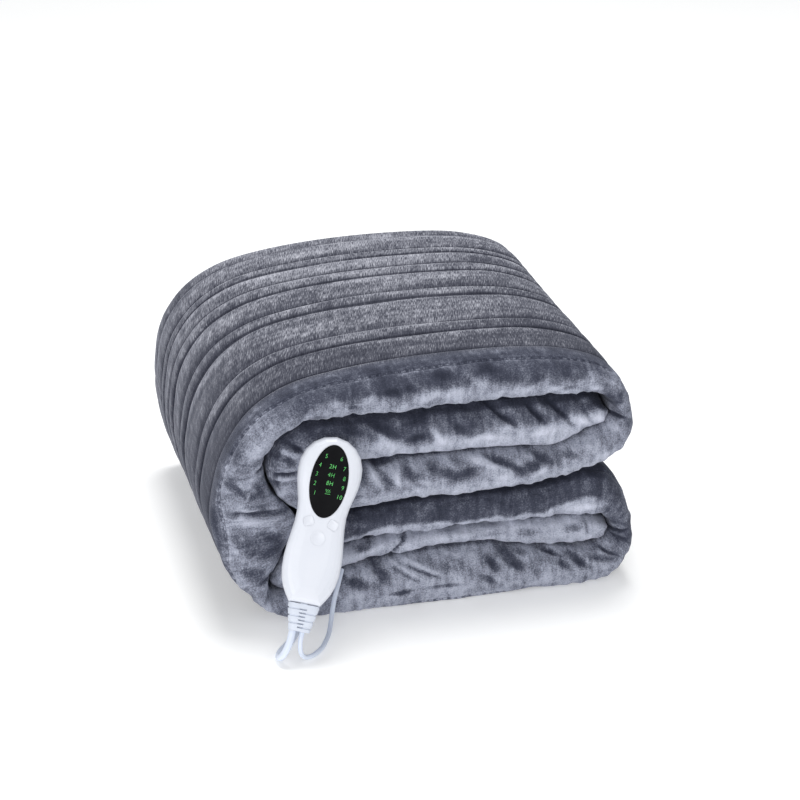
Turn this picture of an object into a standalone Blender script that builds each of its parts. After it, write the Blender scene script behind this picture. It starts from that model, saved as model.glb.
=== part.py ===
"""Folded electric heated blanket with its wired hand controller.

The blanket is one quilted sheet. It is folded in half and in half again, so
that a strip of four plies is left, and the strip is then folded in from both
ends and over itself, six layers high. The hand controller leans on the front
of the folds. A thin lead runs from it into the blanket, and a mains lead runs
through the fold to a tied coil and a plug behind.

Metres, +Z up. X runs along the front, Y away from the viewer.
"""
import bmesh
import bpy
import math
from mathutils import Euler, Matrix, Vector

MM = 0.001
CLEAR = 0.3 * MM              # gap kept between pieces that touch

# ---- Blanket: depth of the folded strip and its plies -----------------------
FRONT_Y = -0.150              # foremost point of the front rolls
BACK_Y = 0.207                # rearmost point of the back fold
SPINE_SQUEEZE = 0.052         # share by which the spine's bulge is flatter at the back
SPINE_BULGE = (98 * MM, 62 * MM)        # height of the bulge's middle, and half its height
PLY_GAP = 0.5 * MM            # air between plies of the strip
ROUND_UP = 28 * MM            # depth of the front rounding on a face that looks up
ROUND_SIDE = 18 * MM          # ... on a face that looks sideways
ROUND_DOWN = 9 * MM           # ... on a face pressed down by the weight above
BACK_ROUND = 6 * MM           # how far the outer hem stands back from the back fold
HEM_STEP = 7 * MM             # how far the inner hem stands back from the outer one
STEP_ANGLE = math.radians(15) # turn of the strip between two of its sections
STEP_LENGTH = 40 * MM         # and distance between two of them where it is straight

# The strip as it lies, from its inner end in the upper tier to its inner end in
# the lower tier. Each row is one section across the strip: the point on its
# outer face, the point on its inner face, and how far its front roll stands
# back from FRONT_Y, all in millimetres.
#    outer x, outer z, inner x, inner z, setback
STRIP_SECTIONS = (
    # middle layer of the upper tier, from its end at the right to the left
    (161.0, 171.5, 160.5, 153.5, 9),
    (146.0, 182.5, 146.0, 149.0, 7),
    (112.0, 185.5, 112.0, 139.2, 6),
    (50.0, 187.0, 50.0, 141.5, 5),
    (-20.0, 185.6, -20.0, 143.0, 4),
    (-80.0, 185.7, -78.0, 144.3, 3),
    # turn at the left of the upper tier
    (-108.0, 184.0, -91.0, 144.2, 3),
    (-130.0, 169.0, -95.0, 143.6, 4),
    (-140.5, 148.0, -96.0, 142.9, 5),
    (-133.0, 119.5, -94.5, 142.1, 5),
    (-113.0, 101.5, -88.0, 141.8, 4),
    # bottom layer of the upper tier
    (-75.0, 98.5, -68.0, 142.2, 3),
    (-20.0, 102.3, -20.0, 141.6, 2),
    (50.0, 101.8, 50.0, 139.8, 2),
    (108.0, 105.0, 106.0, 136.2, 2),
    (146.0, 112.6, 144.0, 146.0, 2),
    # turn at the right of the upper tier
    (168.0, 119.5, 160.5, 151.8, 1),
    (182.5, 135.0, 165.3, 159.0, 0),
    (186.5, 156.0, 166.0, 167.0, 0),
    (180.0, 184.5, 162.5, 177.0, 0),
    (160.0, 203.5, 152.0, 183.5, 0),
    # top layer
    (115.0, 217.5, 112.0, 186.8, 0),
    (50.0, 222.0, 50.0, 188.0, 0),
    (-20.0, 220.8, -20.0, 186.8, 0),
    (-80.0, 214.0, -80.0, 186.8, 0),
    # spine, down the left side
    (-120.0, 203.0, -112.0, 184.8, 0),
    (-152.0, 182.0, -134.0, 168.5, 0),
    (-175.0, 148.0, -142.8, 147.0, 0),
    (-184.0, 122.0, -138.8, 122.0, 1),
    (-189.5, 98.0, -123.0, 100.5, 3),
    (-184.5, 76.0, -126.0, 86.0, 1),
    (-174.5, 47.0, -137.0, 60.0, 0),
    (-155.5, 20.0, -144.5, 39.0, 0),
    (-133.0, 4.5, -139.0, 26.5, 0),
    # bottom layer, flat on what the blanket lies on
    (-108.0, 0.0, -112.0, 27.0, 0),
    (-86.0, 0.0, -89.0, 35.0, 0),
    (-60.0, 0.0, -62.0, 43.6, 0),
    (-15.0, 0.0, -15.0, 47.6, 0),
    (45.0, 0.0, 45.0, 49.2, 0),
    (105.0, 0.0, 105.0, 38.9, 0),
    (150.0, 0.0, 146.0, 35.5, 0),
    # turn at the right of the lower tier
    (173.0, 6.5, 161.0, 38.0, 0),
    (186.5, 25.0, 168.0, 45.0, 0),
    (189.5, 48.0, 170.0, 52.0, 0),
    (184.0, 77.0, 166.0, 61.0, 1),
    (167.0, 105.0, 154.0, 66.8, 2),
    # top layer of the lower tier
    (140.0, 110.2, 136.0, 68.6, 3),
    (95.0, 101.8, 92.0, 68.7, 3),
    (20.0, 100.6, 20.0, 69.8, 3),
    (-45.0, 99.2, -48.0, 68.8, 4),
    # turn at the left of the lower tier
    (-84.0, 91.0, -78.0, 64.8, 6),
    (-108.0, 71.0, -91.0, 59.6, 7),
    (-130.0, 47.5, -97.0, 55.6, 8),
    (-138.0, 34.5, -98.5, 52.6, 8),
    (-125.0, 26.8, -95.5, 53.2, 8),
    # middle layer of the lower tier, to its end at the right
    (-99.0, 33.4, -86.0, 59.0, 8),
    (-78.0, 40.4, -72.0, 63.4, 8),
    (-48.0, 47.2, -46.0, 67.0, 8),
    (-15.0, 49.4, -15.0, 68.3, 8),
    (45.0, 50.6, 45.0, 68.3, 8),
    (105.0, 40.5, 105.0, 67.4, 8),
    (146.0, 37.2, 144.0, 66.4, 8),
    (164.0, 43.0, 163.5, 58.5, 9),
)

# ---- Hand controller, in its own frame --------------------------------------
# Its frame: X across, Z along to the head, -Y out of its face; the origin is
# the middle of its lower end, on the seam between its two shells.
HANDSET_LENGTH = 143 * MM
HANDSET_AT = (-0.1261, -0.2108, 0.0500)
HANDSET_LEAN = math.radians(-26.95)
HANDSET_ROLL = math.radians(14.1)
HANDSET_TURN = math.radians(-8.0)
SHELL_WALL = 2.2 * MM
SEAM_GAP = 0.15 * MM          # each shell stops this far from the seam plane
CUT_FROM = 5 * MM             # the face's openings are cut from here, above the seam,
CUT_TO = 14 * MM              # to here

# Outline: distance from the lower end as a share of the length, and half width.
#    share, half width in millimetres
HANDSET_OUTLINE = (
    (0.000, 13.4),
    (0.040, 17.2),
    (0.080, 20.4),
    (0.130, 23.0),
    (0.190, 24.5),
    (0.260, 24.8),
    (0.330, 24.0),
    (0.400, 22.6),
    (0.470, 21.4),
    (0.540, 21.1),
    (0.600, 22.2),
    (0.660, 24.4),
    (0.720, 26.3),
    (0.780, 27.2),
    (0.840, 26.6),
    (0.900, 23.6),
    (0.950, 18.0),
    (0.985, 10.2),
)
# Section of a shell: inset from the outline, and height above the seam, in mm.
FRONT_RINGS = ((0.0, 0.0), (0.2, 3.0), (0.9, 5.6), (2.3, 7.7), (4.6, 9.2), (8.0, 10.1), (14.0, 10.6))
BACK_RINGS = ((0.0, 0.0), (0.3, 2.6), (1.2, 4.9), (2.8, 6.7), (5.4, 7.9), (9.0, 8.6), (14.0, 9.0))

WINDOW_MIDDLE = 104.5 * MM    # height of the display's middle above the lower end
WINDOW_HALF = (15.8 * MM, 31.0 * MM)
WINDOW_THICK = 1.4 * MM
WINDOW_TOP = 10.9 * MM        # its face, above the seam
WINDOW_LEDGE = 3.0 * MM       # width of the ledge on which it sits

KEY_TOP = 11.2 * MM           # a key's face at rest, above the seam
KEY_TRAVEL = 0.6 * MM
KEY_FLANGE = 1.2 * MM         # how far the flange under a key spreads past it
KEY_FLANGE_THICK = 1.0 * MM
# A key's middle, half width, half height, corner radius and height of its
# flange above the seam in millimetres, and its turn in degrees.
#    name, x, z, half width, half height, corner, flange, turn
KEYS = (
    ("key_power", 0.0, 55.8, 6.0, 6.0, 6.0, 8.0, 0.0),
    ("key_heat", -10.4, 68.9, 4.2, 3.8, 2.2, 6.5, 24.0),
    ("key_timer", 10.4, 68.9, 4.2, 3.8, 2.2, 6.5, -24.0),
)

# ---- Strain relief at the controller's lower end ----------------------------
RELIEF_LENGTH = 23.5 * MM
RELIEF_TOP = (13.2 * MM, 5.2 * MM)      # half width and half depth at the housing
RELIEF_END = (9.2 * MM, 3.9 * MM)       # and at its free end
NECK_HALF = (8.0 * MM, 2.4 * MM)        # neck through the housing's lower wall
NECK_LENGTH = 4.6 * MM
NECK_FLANGE_HALF = (10.0 * MM, 3.4 * MM)
NECK_FLANGE_THICK = 2.0 * MM
MAINS_EXIT = -5.4 * MM        # where the mains lead leaves the relief, across it
CONTROL_EXIT = 3.0 * MM       # and the control lead

# ---- Leads -------------------------------------------------------------------
MAINS_DIAMETER = 6.2 * MM
CONTROL_DIAMETER = 4.2 * MM
TUBE_STEP_ANGLE = math.radians(11)      # turn of a lead between two of its rings
# Route of the mains lead after it leaves the relief: down to the surface, back
# under the controller, up into the hollow of the folds, and out at the back.
MAINS_ROUTE = (
    (-0.1448, -0.2235, 0.0200),
    (-0.1472, -0.2200, 0.0135),
    (-0.1487, -0.2155, 0.0080),
    (-0.1480, -0.2105, 0.0046),
    (-0.1440, -0.2050, 0.0033),
    (-0.1350, -0.1924, 0.0032),
    (-0.1290, -0.1811, 0.0032),
    (-0.1240, -0.1713, 0.0036),
    (-0.1190, -0.1635, 0.0065),
    (-0.1150, -0.1590, 0.0150),
    (-0.1120, -0.1575, 0.0300),
    (-0.1100, -0.1570, 0.0480),
    (-0.1085, -0.1525, 0.0665),
    (-0.1080, -0.1400, 0.0775),
    (-0.1100, -0.1200, 0.0768),
    (-0.1145, -0.0950, 0.0720),
    (-0.1230, -0.0500, 0.0625),
    (-0.1310, 0.0100, 0.0532),
    (-0.1368, 0.0800, 0.0455),
    (-0.1386, 0.1500, 0.0425),
    (-0.1386, 0.1950, 0.0420),
    (-0.1375, 0.2180, 0.0355),
    (-0.1325, 0.2370, 0.0200),
    (-0.1200, 0.2550, 0.0070),
    (-0.1020, 0.2710, 0.0034),
    (-0.0885, 0.2880, 0.0034),
    (-0.0776, 0.3048, 0.0034),
    (-0.0612, 0.3209, 0.0034),
)
# Route of the control lead: down to the surface, in a loose bend to the right,
# and up the bottom layer's roll into the fold above it.
CONTROL_ROUTE = (
    (-0.1334, -0.2222, 0.0225),
    (-0.1329, -0.2195, 0.0165),
    (-0.1318, -0.2180, 0.0110),
    (-0.1293, -0.2172, 0.0058),
    (-0.1258, -0.2171, 0.0030),
    (-0.1212, -0.2159, 0.0023),
    (-0.1162, -0.2118, 0.0023),
    (-0.1098, -0.2044, 0.0023),
    (-0.1045, -0.1949, 0.0023),
    (-0.0980, -0.1806, 0.0025),
    (-0.0932, -0.1680, 0.0062),
    (-0.0894, -0.1590, 0.0140),
    (-0.0863, -0.1540, 0.0222),
    (-0.0830, -0.1495, 0.0285),
    (-0.0790, -0.1430, 0.0352),
    (-0.0757, -0.1372, 0.0393),
)
COIL_AT = (-0.0379, 0.2810)   # middle of the coil on the surface
COIL_MEAN_RADIUS = 34 * MM    # to the middle of its turns
COIL_TURNS_WIDE = 3           # the bundle of turns is this many leads across and up
COIL_SIDES = 40
COIL_BASE = 2.0 * MM          # its tie passes under it
TIE_WIDTH = 8 * MM
TIE_THICK = 1.2 * MM
TIE_AT = math.radians(250)    # where on the coil the tie sits
# Route of the lead's last part, from the coil to the plug.
TAIL_ROUTE = (
    (0.0027, 0.2999, 0.0034),
    (0.0074, 0.2928, 0.0034),
    (0.0141, 0.2875, 0.0040),
    (0.0220, 0.2844, 0.0060),
    (0.0305, 0.2838, 0.0080),
)
PLUG_AT = (0.0316, 0.2839, 0.0080)
PLUG_TURN = math.radians(5)
PLUG_LENGTH = 34 * MM
PLUG_HALF = (11.5 * MM, 8.0 * MM)       # half width and half height of its body
BLADE_SPACING = 12.7 * MM
BLADE_HALF = (0.75 * MM, 3.1 * MM)      # half thickness and half height
BLADE_LENGTH = 16 * MM

COLOURS = {
    "blanket": (0.20, 0.21, 0.26, 0.9, 0.0),
    "plastic": (0.83, 0.86, 0.93, 0.35, 0.0),
    "window": (0.01, 0.01, 0.012, 0.08, 0.0),
    "lead": (0.78, 0.82, 0.92, 0.45, 0.0),
    "tie": (0.05, 0.05, 0.055, 0.7, 0.0),
    "metal": (0.78, 0.75, 0.66, 0.28, 1.0),
}


# ---- Helpers -----------------------------------------------------------------
def clear_scene():
    for old in list(bpy.data.objects):
        bpy.data.objects.remove(old, do_unlink=True)


def material(name, kind):
    red, green, blue, rough, metal = COLOURS[kind]
    made = bpy.data.materials.new(name)
    made.use_nodes = True
    shader = made.node_tree.nodes["Principled BSDF"]
    shader.inputs["Base Color"].default_value = (red, green, blue, 1.0)
    shader.inputs["Roughness"].default_value = rough
    shader.inputs["Metallic"].default_value = metal
    return made


def add_object(name, data, kind, parent=None):
    made = bpy.data.objects.new(name, data)
    bpy.context.scene.collection.objects.link(made)
    made.data.materials.append(material(name + "_finish", kind))
    made.parent = parent
    return made


def mesh_object(name, shape, kind, parent=None, smooth=True):
    """Turn a bmesh into an object with its faces pointing out."""
    bmesh.ops.recalc_face_normals(shape, faces=shape.faces)
    data = bpy.data.meshes.new(name)
    shape.to_mesh(data)
    shape.free()
    if smooth:
        data.shade_smooth()
        data.set_sharp_from_angle(angle=math.radians(40))
    return add_object(name, data, kind, parent)


def cutter_object(name, shape, parent):
    """A solid that only cuts others."""
    made = mesh_object(name, shape, "plastic", parent, smooth=False)
    made.hide_render = True
    made.display_type = "WIRE"
    return made


def cut(piece, cutter):
    tool = piece.modifiers.new(cutter.name, "BOOLEAN")
    tool.operation = "DIFFERENCE"
    tool.solver = "EXACT"
    tool.object = cutter


def bridge_rings(shape, rings):
    """Join loops of points with quads, and close the first and last."""
    loops = [[shape.verts.new(point) for point in ring] for ring in rings]
    count = len(loops[0])
    for near, far in zip(loops, loops[1:]):
        for i in range(count):
            j = (i + 1) % count
            shape.faces.new((near[i], near[j], far[j], far[i]))
    shape.faces.new(loops[0][::-1])
    shape.faces.new(loops[-1])


def triangulate_ends(shape):
    """Split the faces with many corners, which close the ends of a shape."""
    shape.normal_update()
    ends = [face for face in shape.faces if len(face.verts) > 4]
    bmesh.ops.triangulate(shape, faces=ends, ngon_method="EAR_CLIP")


def spline_point(a, b, c, d, share):
    """Point between b and c on a smooth curve through a, b, c and d."""
    first = (c - a) * 0.5
    last = (d - b) * 0.5
    t2 = share * share
    t3 = t2 * share
    return (b * (2 * t3 - 3 * t2 + 1) + first * (t3 - 2 * t2 + share)
            + c * (3 * t2 - 2 * t3) + last * (t3 - t2))


def smooth_through(points, steps):
    """Curve through the points; steps(i) says how many pieces span i holds."""
    ends = [points[0] * 2 - points[1]] + list(points) + [points[-1] * 2 - points[-2]]
    curve = []
    for i in range(len(points) - 1):
        count = steps(i)
        for k in range(count):
            curve.append(spline_point(ends[i], ends[i + 1], ends[i + 2], ends[i + 3], k / count))
    curve.append(points[-1])
    return curve


# ---- Blanket -----------------------------------------------------------------
def across(row):
    """From the inner face of the strip to its outer face."""
    return Vector((row[0] - row[2], row[1] - row[3]))


def strip_stations():
    """Sections along the strip, as (outer point, inner point, setback)."""
    rows = [Vector(row) * MM for row in STRIP_SECTIONS]

    def steps(i):
        here, there = rows[i], rows[i + 1]
        turn = across(here).angle(across(there)) / STEP_ANGLE
        span = max((there - here).xy.length, (there - here).zw.length) / STEP_LENGTH
        return max(1, round(turn), round(span))

    stations = []
    for outer_x, outer_z, inner_x, inner_z, setback in smooth_through(rows, steps):
        outer = Vector((outer_x, max(outer_z, 0.0)))
        stations.append((outer, Vector((inner_x, inner_z)), setback))
    return stations


def quarter(depth, half, middle, nose, upper, steps):
    """Quarter of the rounded front: from its flat face to its nose, or back."""
    points = []
    for k in range(steps + 1):
        angle = math.pi / 2 * k / steps
        side = half * math.cos(angle)
        points.append((nose + depth * (1 - math.sin(angle)), middle + side if upper else middle - side))
    return points


def nose_arc(depth_out, depth_in, half, middle, nose, steps):
    """Rounded front of one ply, from the outer face round to the inner one."""
    upper = quarter(depth_out, half, middle, nose, True, steps)
    lower = quarter(depth_in, half, middle, nose, False, steps)
    return upper + lower[-2::-1]


def section_outline(thick, round_out, round_in, setback):
    """Outline of the four plies across the strip, as (y, height) pairs.

    Two plies wrap round the other two at the front. At the back the two inner
    plies are joined by the sheet's first fold, and its two hems end there.
    """
    ply = (thick - 3 * PLY_GAP) / 4
    middle = thick / 2
    front = FRONT_Y + setback
    nose = min(ply, 0.6 * round_in, 0.6 * round_out)
    fold_radius = ply + PLY_GAP / 2
    fold_back = BACK_Y
    outer_hem = BACK_Y - BACK_ROUND
    inner_hem = outer_hem - HEM_STEP
    hem = 0.4 * ply

    points = [(outer_hem - hem, thick)]
    points += nose_arc(round_out, round_in, middle, middle, front, 4)
    for k in range(5):
        angle = math.pi * k / 4 - math.pi / 2
        points.append((fold_back - fold_radius * (1 - math.cos(angle)),
                       fold_radius * (1 + math.sin(angle))))
    slot_end = front + 2 * nose + 2 * PLY_GAP + 1.5 * MM
    points += [(slot_end, middle - PLY_GAP / 2), (slot_end, middle + PLY_GAP / 2)]
    low = 2 * ply + 2 * PLY_GAP
    points += [(inner_hem - hem, low), (inner_hem, low + ply / 2), (inner_hem - hem, low + ply)]
    inset = nose + PLY_GAP
    points += nose_arc(round_out - inset, round_in - inset, middle - ply - PLY_GAP, middle, front + inset, 3)
    points += [(fold_back - 1.2 * ply, ply + PLY_GAP), (fold_back - 1.2 * ply, ply)]
    back_up = nose_arc(round_out - nose, round_in - nose, middle - ply, middle, front + nose, 3)
    points += back_up[::-1]
    points += [(outer_hem - hem, thick - ply), (outer_hem, thick - ply / 2)]
    return points


def rounding(up):
    """Depth of the front rounding of a face whose normal rises by this much."""
    if up > 0:
        return ROUND_SIDE + (ROUND_UP - ROUND_SIDE) * up
    return ROUND_SIDE + (ROUND_SIDE - ROUND_DOWN) * up


def squeezed(place, y):
    """A point of the section at depth y, with the spine's bulge flatter towards the back."""
    middle, half = SPINE_BULGE
    bulge = max(0.0, 1 - abs(place.y - middle) / half) if place.x < 0 else 0.0
    depth = (y - FRONT_Y) / (BACK_Y - FRONT_Y)
    return Vector((place.x * (1 - SPINE_SQUEEZE * bulge * depth), y, place.y))


def build_blanket():
    rings = []
    for outer, inner, setback in strip_stations():
        span = outer - inner
        up = span.normalized().y
        outline = section_outline(span.length, rounding(up), rounding(-up), setback)
        rings.append([squeezed(inner + span * (height / span.length), y) for y, height in outline])
    shape = bmesh.new()
    bridge_rings(shape, rings)
    triangulate_ends(shape)
    return mesh_object("blanket", shape, "blanket")


# ---- Hand controller ---------------------------------------------------------
def handset_outline():
    """Points round the controller: up its left side, over the head, down the right."""
    right = [Vector((half * MM, share * HANDSET_LENGTH)) for share, half in HANDSET_OUTLINE]
    left = [Vector((-point.x, point.y)) for point in right]
    return left + [Vector((0.0, HANDSET_LENGTH))] + right[::-1]


def shell_ring(outline, inset, height, side):
    """The outline drawn in by inset, at a height in front of or behind the seam."""
    half_width = max(point.x for point in outline)
    half_length = HANDSET_LENGTH / 2
    across = (half_width - inset) / half_width
    along = (half_length - inset) / half_length
    return [Vector((point.x * across, side * height, half_length + (point.y - half_length) * along))
            for point in outline]


def build_shell(name, sections, side, parent):
    """One half of the housing: a shell open at the seam."""
    outline = handset_outline()
    outer = [(inset * MM, max(height * MM, SEAM_GAP)) for inset, height in sections]
    inner = [(inset + SHELL_WALL, height - SHELL_WALL) for inset, height in outer]
    inner = [(SHELL_WALL, SEAM_GAP)] + [row for row in inner if row[1] > 2 * SEAM_GAP]
    rings = [shell_ring(outline, inset, height, side) for inset, height in outer[::-1] + inner]
    shape = bmesh.new()
    bridge_rings(shape, rings)
    triangulate_ends(shape)
    return mesh_object(name, shape, "plastic", parent)


def oval(half_x, half_z, middle_z, count=40):
    angles = [2 * math.pi * k / count for k in range(count)]
    return [Vector((half_x * math.sin(angle), middle_z + half_z * math.cos(angle))) for angle in angles]


def rounded_box(x, z, half_x, half_z, radius, turn, grow=0.0, corner_steps=4):
    """Outline of a key or a block, with round corners, grown by grow."""
    points = []
    spread_x = half_x - radius
    spread_z = half_z - radius
    for quarter_turn, (sign_x, sign_z) in enumerate(((1, 1), (-1, 1), (-1, -1), (1, -1))):
        for k in range(corner_steps + 1):
            angle = math.pi / 2 * (quarter_turn + k / corner_steps)
            local = Vector((sign_x * spread_x + (radius + grow) * math.cos(angle),
                            sign_z * spread_z + (radius + grow) * math.sin(angle)))
            if points and (local - points[-1]).length < 1e-6:
                continue
            points.append(local)
    if (points[0] - points[-1]).length < 1e-6:
        points.pop()
    swing = Matrix.Rotation(turn, 2)
    return [swing @ point + Vector((x, z)) for point in points]


def prism(outline, near, far):
    """Rings of a prism between two heights in front of the seam."""
    return [[Vector((point.x, -height, point.y)) for point in outline] for height in (near, far)]


def prism_shape(outline, near, far):
    shape = bmesh.new()
    bridge_rings(shape, prism(outline, near, far))
    return shape


def build_key(row, parent, housing):
    name = row[0]
    x, z, half_x, half_z, radius, flange_top = (value * MM for value in row[1:7])
    turn = math.radians(row[7])
    # A socket empty carries the key, with its origin on the line it slides along.
    socket = bpy.data.objects.new(name + "_socket", None)
    bpy.context.scene.collection.objects.link(socket)
    socket.parent = parent
    socket.location = (x, 0.0, z)
    cap = rounded_box(0, 0, half_x, half_z, radius, turn)
    flange = rounded_box(0, 0, half_x, half_z, radius, turn, grow=KEY_FLANGE)
    shape = bmesh.new()
    rings = prism(flange, flange_top - KEY_FLANGE_THICK, flange_top)
    rings += prism(cap, flange_top, KEY_TOP)
    bridge_rings(shape, rings)
    mesh_object(name, shape, "plastic", socket)
    hole = rounded_box(x, z, half_x, half_z, radius, turn, grow=CLEAR)
    cut(housing, cutter_object(name + "_hole", prism_shape(hole, CUT_FROM, CUT_TO), parent))


def build_window(parent, housing):
    """Display window in a pocket of the front shell, over a smaller opening."""
    half_x, half_z = WINDOW_HALF
    low = WINDOW_TOP - WINDOW_THICK
    edge = 0.5 * MM
    plate = oval(half_x, half_z, WINDOW_MIDDLE)
    top = oval(half_x - edge, half_z - edge, WINDOW_MIDDLE)
    shape = bmesh.new()
    rings = prism(plate, low, WINDOW_TOP - edge / 2)
    rings += [[Vector((point.x, -WINDOW_TOP, point.y)) for point in top]]
    bridge_rings(shape, rings)
    mesh_object("display_window", shape, "window", parent)
    pocket = oval(half_x + CLEAR, half_z + CLEAR, WINDOW_MIDDLE)
    cut(housing, cutter_object("window_pocket", prism_shape(pocket, low - CLEAR, CUT_TO), parent))
    opening = oval(half_x - WINDOW_LEDGE, half_z - WINDOW_LEDGE, WINDOW_MIDDLE)
    cut(housing, cutter_object("window_opening", prism_shape(opening, CUT_FROM, CUT_TO), parent))


def block_ring(half_x, half_y, z, radius_share=0.9, count=5):
    """Rounded rectangle across the relief, at height z."""
    radius = min(half_x, half_y) * radius_share
    outline = rounded_box(0, 0, half_x, half_y, radius, 0.0, corner_steps=count - 1)
    return [Vector((point.x, point.y, z)) for point in outline]


def build_relief(parent, shells):
    """Moulded boot for the two leads, with a neck held between the shells."""
    sections = (
        (NECK_FLANGE_HALF, NECK_LENGTH + NECK_FLANGE_THICK),
        (NECK_FLANGE_HALF, NECK_LENGTH),
        (NECK_HALF, NECK_LENGTH),
        (NECK_HALF, -CLEAR),
        (RELIEF_TOP, -CLEAR),
        (RELIEF_TOP, -0.22 * RELIEF_LENGTH),
        (RELIEF_END, -RELIEF_LENGTH + 1.0 * MM),
        ((RELIEF_END[0] - 1.0 * MM, RELIEF_END[1] - 1.0 * MM), -RELIEF_LENGTH),
    )
    shape = bmesh.new()
    bridge_rings(shape, [block_ring(half[0], half[1], z) for half, z in sections])
    mesh_object("strain_relief", shape, "plastic", parent)
    slot = bmesh.new()
    ring_low = block_ring(NECK_HALF[0] + CLEAR, NECK_HALF[1] + CLEAR, -2 * MM)
    ring_high = block_ring(NECK_HALF[0] + CLEAR, NECK_HALF[1] + CLEAR, 2 * SHELL_WALL)
    bridge_rings(slot, [ring_low, ring_high])
    cutter = cutter_object("neck_slot", slot, parent)
    for shell in shells:
        cut(shell, cutter)


def build_handset():
    carrier = bpy.data.objects.new("handset_seat", None)
    bpy.context.scene.collection.objects.link(carrier)
    carrier.rotation_mode = "YXZ"
    carrier.location = HANDSET_AT
    carrier.rotation_euler = (HANDSET_LEAN, HANDSET_ROLL, HANDSET_TURN)
    front = build_shell("front_shell", FRONT_RINGS, -1, carrier)
    back = build_shell("back_shell", BACK_RINGS, 1, carrier)
    build_window(carrier, front)
    for row in KEYS:
        build_key(row, carrier, front)
    build_relief(carrier, (front, back))


def handset_point(x, y, z):
    """A point of the controller's own frame, in the world."""
    turned = Euler((HANDSET_LEAN, HANDSET_ROLL, HANDSET_TURN), "YXZ").to_matrix()
    return turned @ Vector((x, y, z)) + Vector(HANDSET_AT)


# ---- Leads, coil and plug ----------------------------------------------------
def build_tube(name, route, diameter):
    """Round lead along a smooth curve through its route.

    Its rings stand where it has turned enough, or gone far enough, since the last.
    """
    dense = smooth_through([Vector(point) for point in route], lambda i: 24)
    picked = dense[:1]
    heading = dense[1] - dense[0]
    for here, there in zip(dense[1:], dense[2:]):
        gone = (here - picked[-1]).length
        turned = heading.angle(there - here)
        if gone > diameter * 3 or (turned > TUBE_STEP_ANGLE and gone > diameter * 0.4):
            picked.append(here)
            heading = there - here
    if (dense[-1] - picked[-1]).length < diameter * 0.4:
        picked.pop()
    picked.append(dense[-1])
    data = bpy.data.curves.new(name, "CURVE")
    data.dimensions = "3D"
    data.bevel_depth = diameter / 2
    data.bevel_resolution = 2
    data.use_fill_caps = True
    line = data.splines.new("POLY")
    line.points.add(len(picked) - 1)
    for slot, point in zip(line.points, picked):
        slot.co = (*point, 1.0)
    return add_object(name, data, "lead")


def relief_exit(across_relief):
    """First points of a lead, where it leaves the relief straight on."""
    start = -RELIEF_LENGTH - CLEAR
    return [tuple(handset_point(across_relief, 0.0, start - step)) for step in (0.0, 2.5 * MM, 5 * MM)]


def build_coil():
    """Outer shape of the coiled length: a ring with a rounded section."""
    tall = MAINS_DIAMETER * COIL_TURNS_WIDE
    half_wide = tall / 2
    corner = MAINS_DIAMETER
    profile = []
    for sign, low in ((1, True), (1, False), (-1, False), (-1, True)):
        for k in range(3):
            angle = math.pi / 4 * k if (sign > 0) == low else math.pi / 2 - math.pi / 4 * k
            reach = half_wide - corner + corner * math.sin(angle)
            rise = corner - corner * math.cos(angle) if low else tall - corner + corner * math.cos(angle)
            profile.append((COIL_MEAN_RADIUS + sign * reach, COIL_BASE + rise))
    shape = bmesh.new()
    loops = []
    for i in range(COIL_SIDES):
        angle = 2 * math.pi * i / COIL_SIDES
        loops.append([shape.verts.new((COIL_AT[0] + r * math.cos(angle), COIL_AT[1] + r * math.sin(angle), z))
                      for r, z in profile])
    for i in range(COIL_SIDES):
        near, far = loops[i], loops[(i + 1) % COIL_SIDES]
        for k in range(len(profile)):
            j = (k + 1) % len(profile)
            shape.faces.new((near[k], near[j], far[j], far[k]))
    return mesh_object("mains_coil", shape, "lead")


def build_tie():
    """Band round the coil's section."""
    half_tall = MAINS_DIAMETER * COIL_TURNS_WIDE / 2 + CLEAR
    half_wide = half_tall + CLEAR
    corner = MAINS_DIAMETER + CLEAR
    seat = bpy.data.objects.new("tie_seat", None)
    bpy.context.scene.collection.objects.link(seat)
    seat.location = (COIL_AT[0] + COIL_MEAN_RADIUS * math.cos(TIE_AT),
                     COIL_AT[1] + COIL_MEAN_RADIUS * math.sin(TIE_AT), COIL_BASE + half_tall - CLEAR)
    seat.rotation_euler = (0.0, 0.0, TIE_AT)
    inner = rounded_box(0, 0, half_wide, half_tall, corner, 0.0, corner_steps=2)
    outer = rounded_box(0, 0, half_wide, half_tall, corner, 0.0, grow=TIE_THICK, corner_steps=2)
    shape = bmesh.new()
    loops = []
    half = TIE_WIDTH / 2
    for outline, y in ((inner, -half), (outer, -half), (outer, half), (inner, half)):
        loops.append([shape.verts.new((point.x, y, point.y)) for point in outline])
    for near, far in zip(loops, loops[1:] + loops[:1]):
        for i in range(len(near)):
            j = (i + 1) % len(near)
            shape.faces.new((near[i], near[j], far[j], far[i]))
    return mesh_object("coil_tie", shape, "tie", seat)


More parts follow.
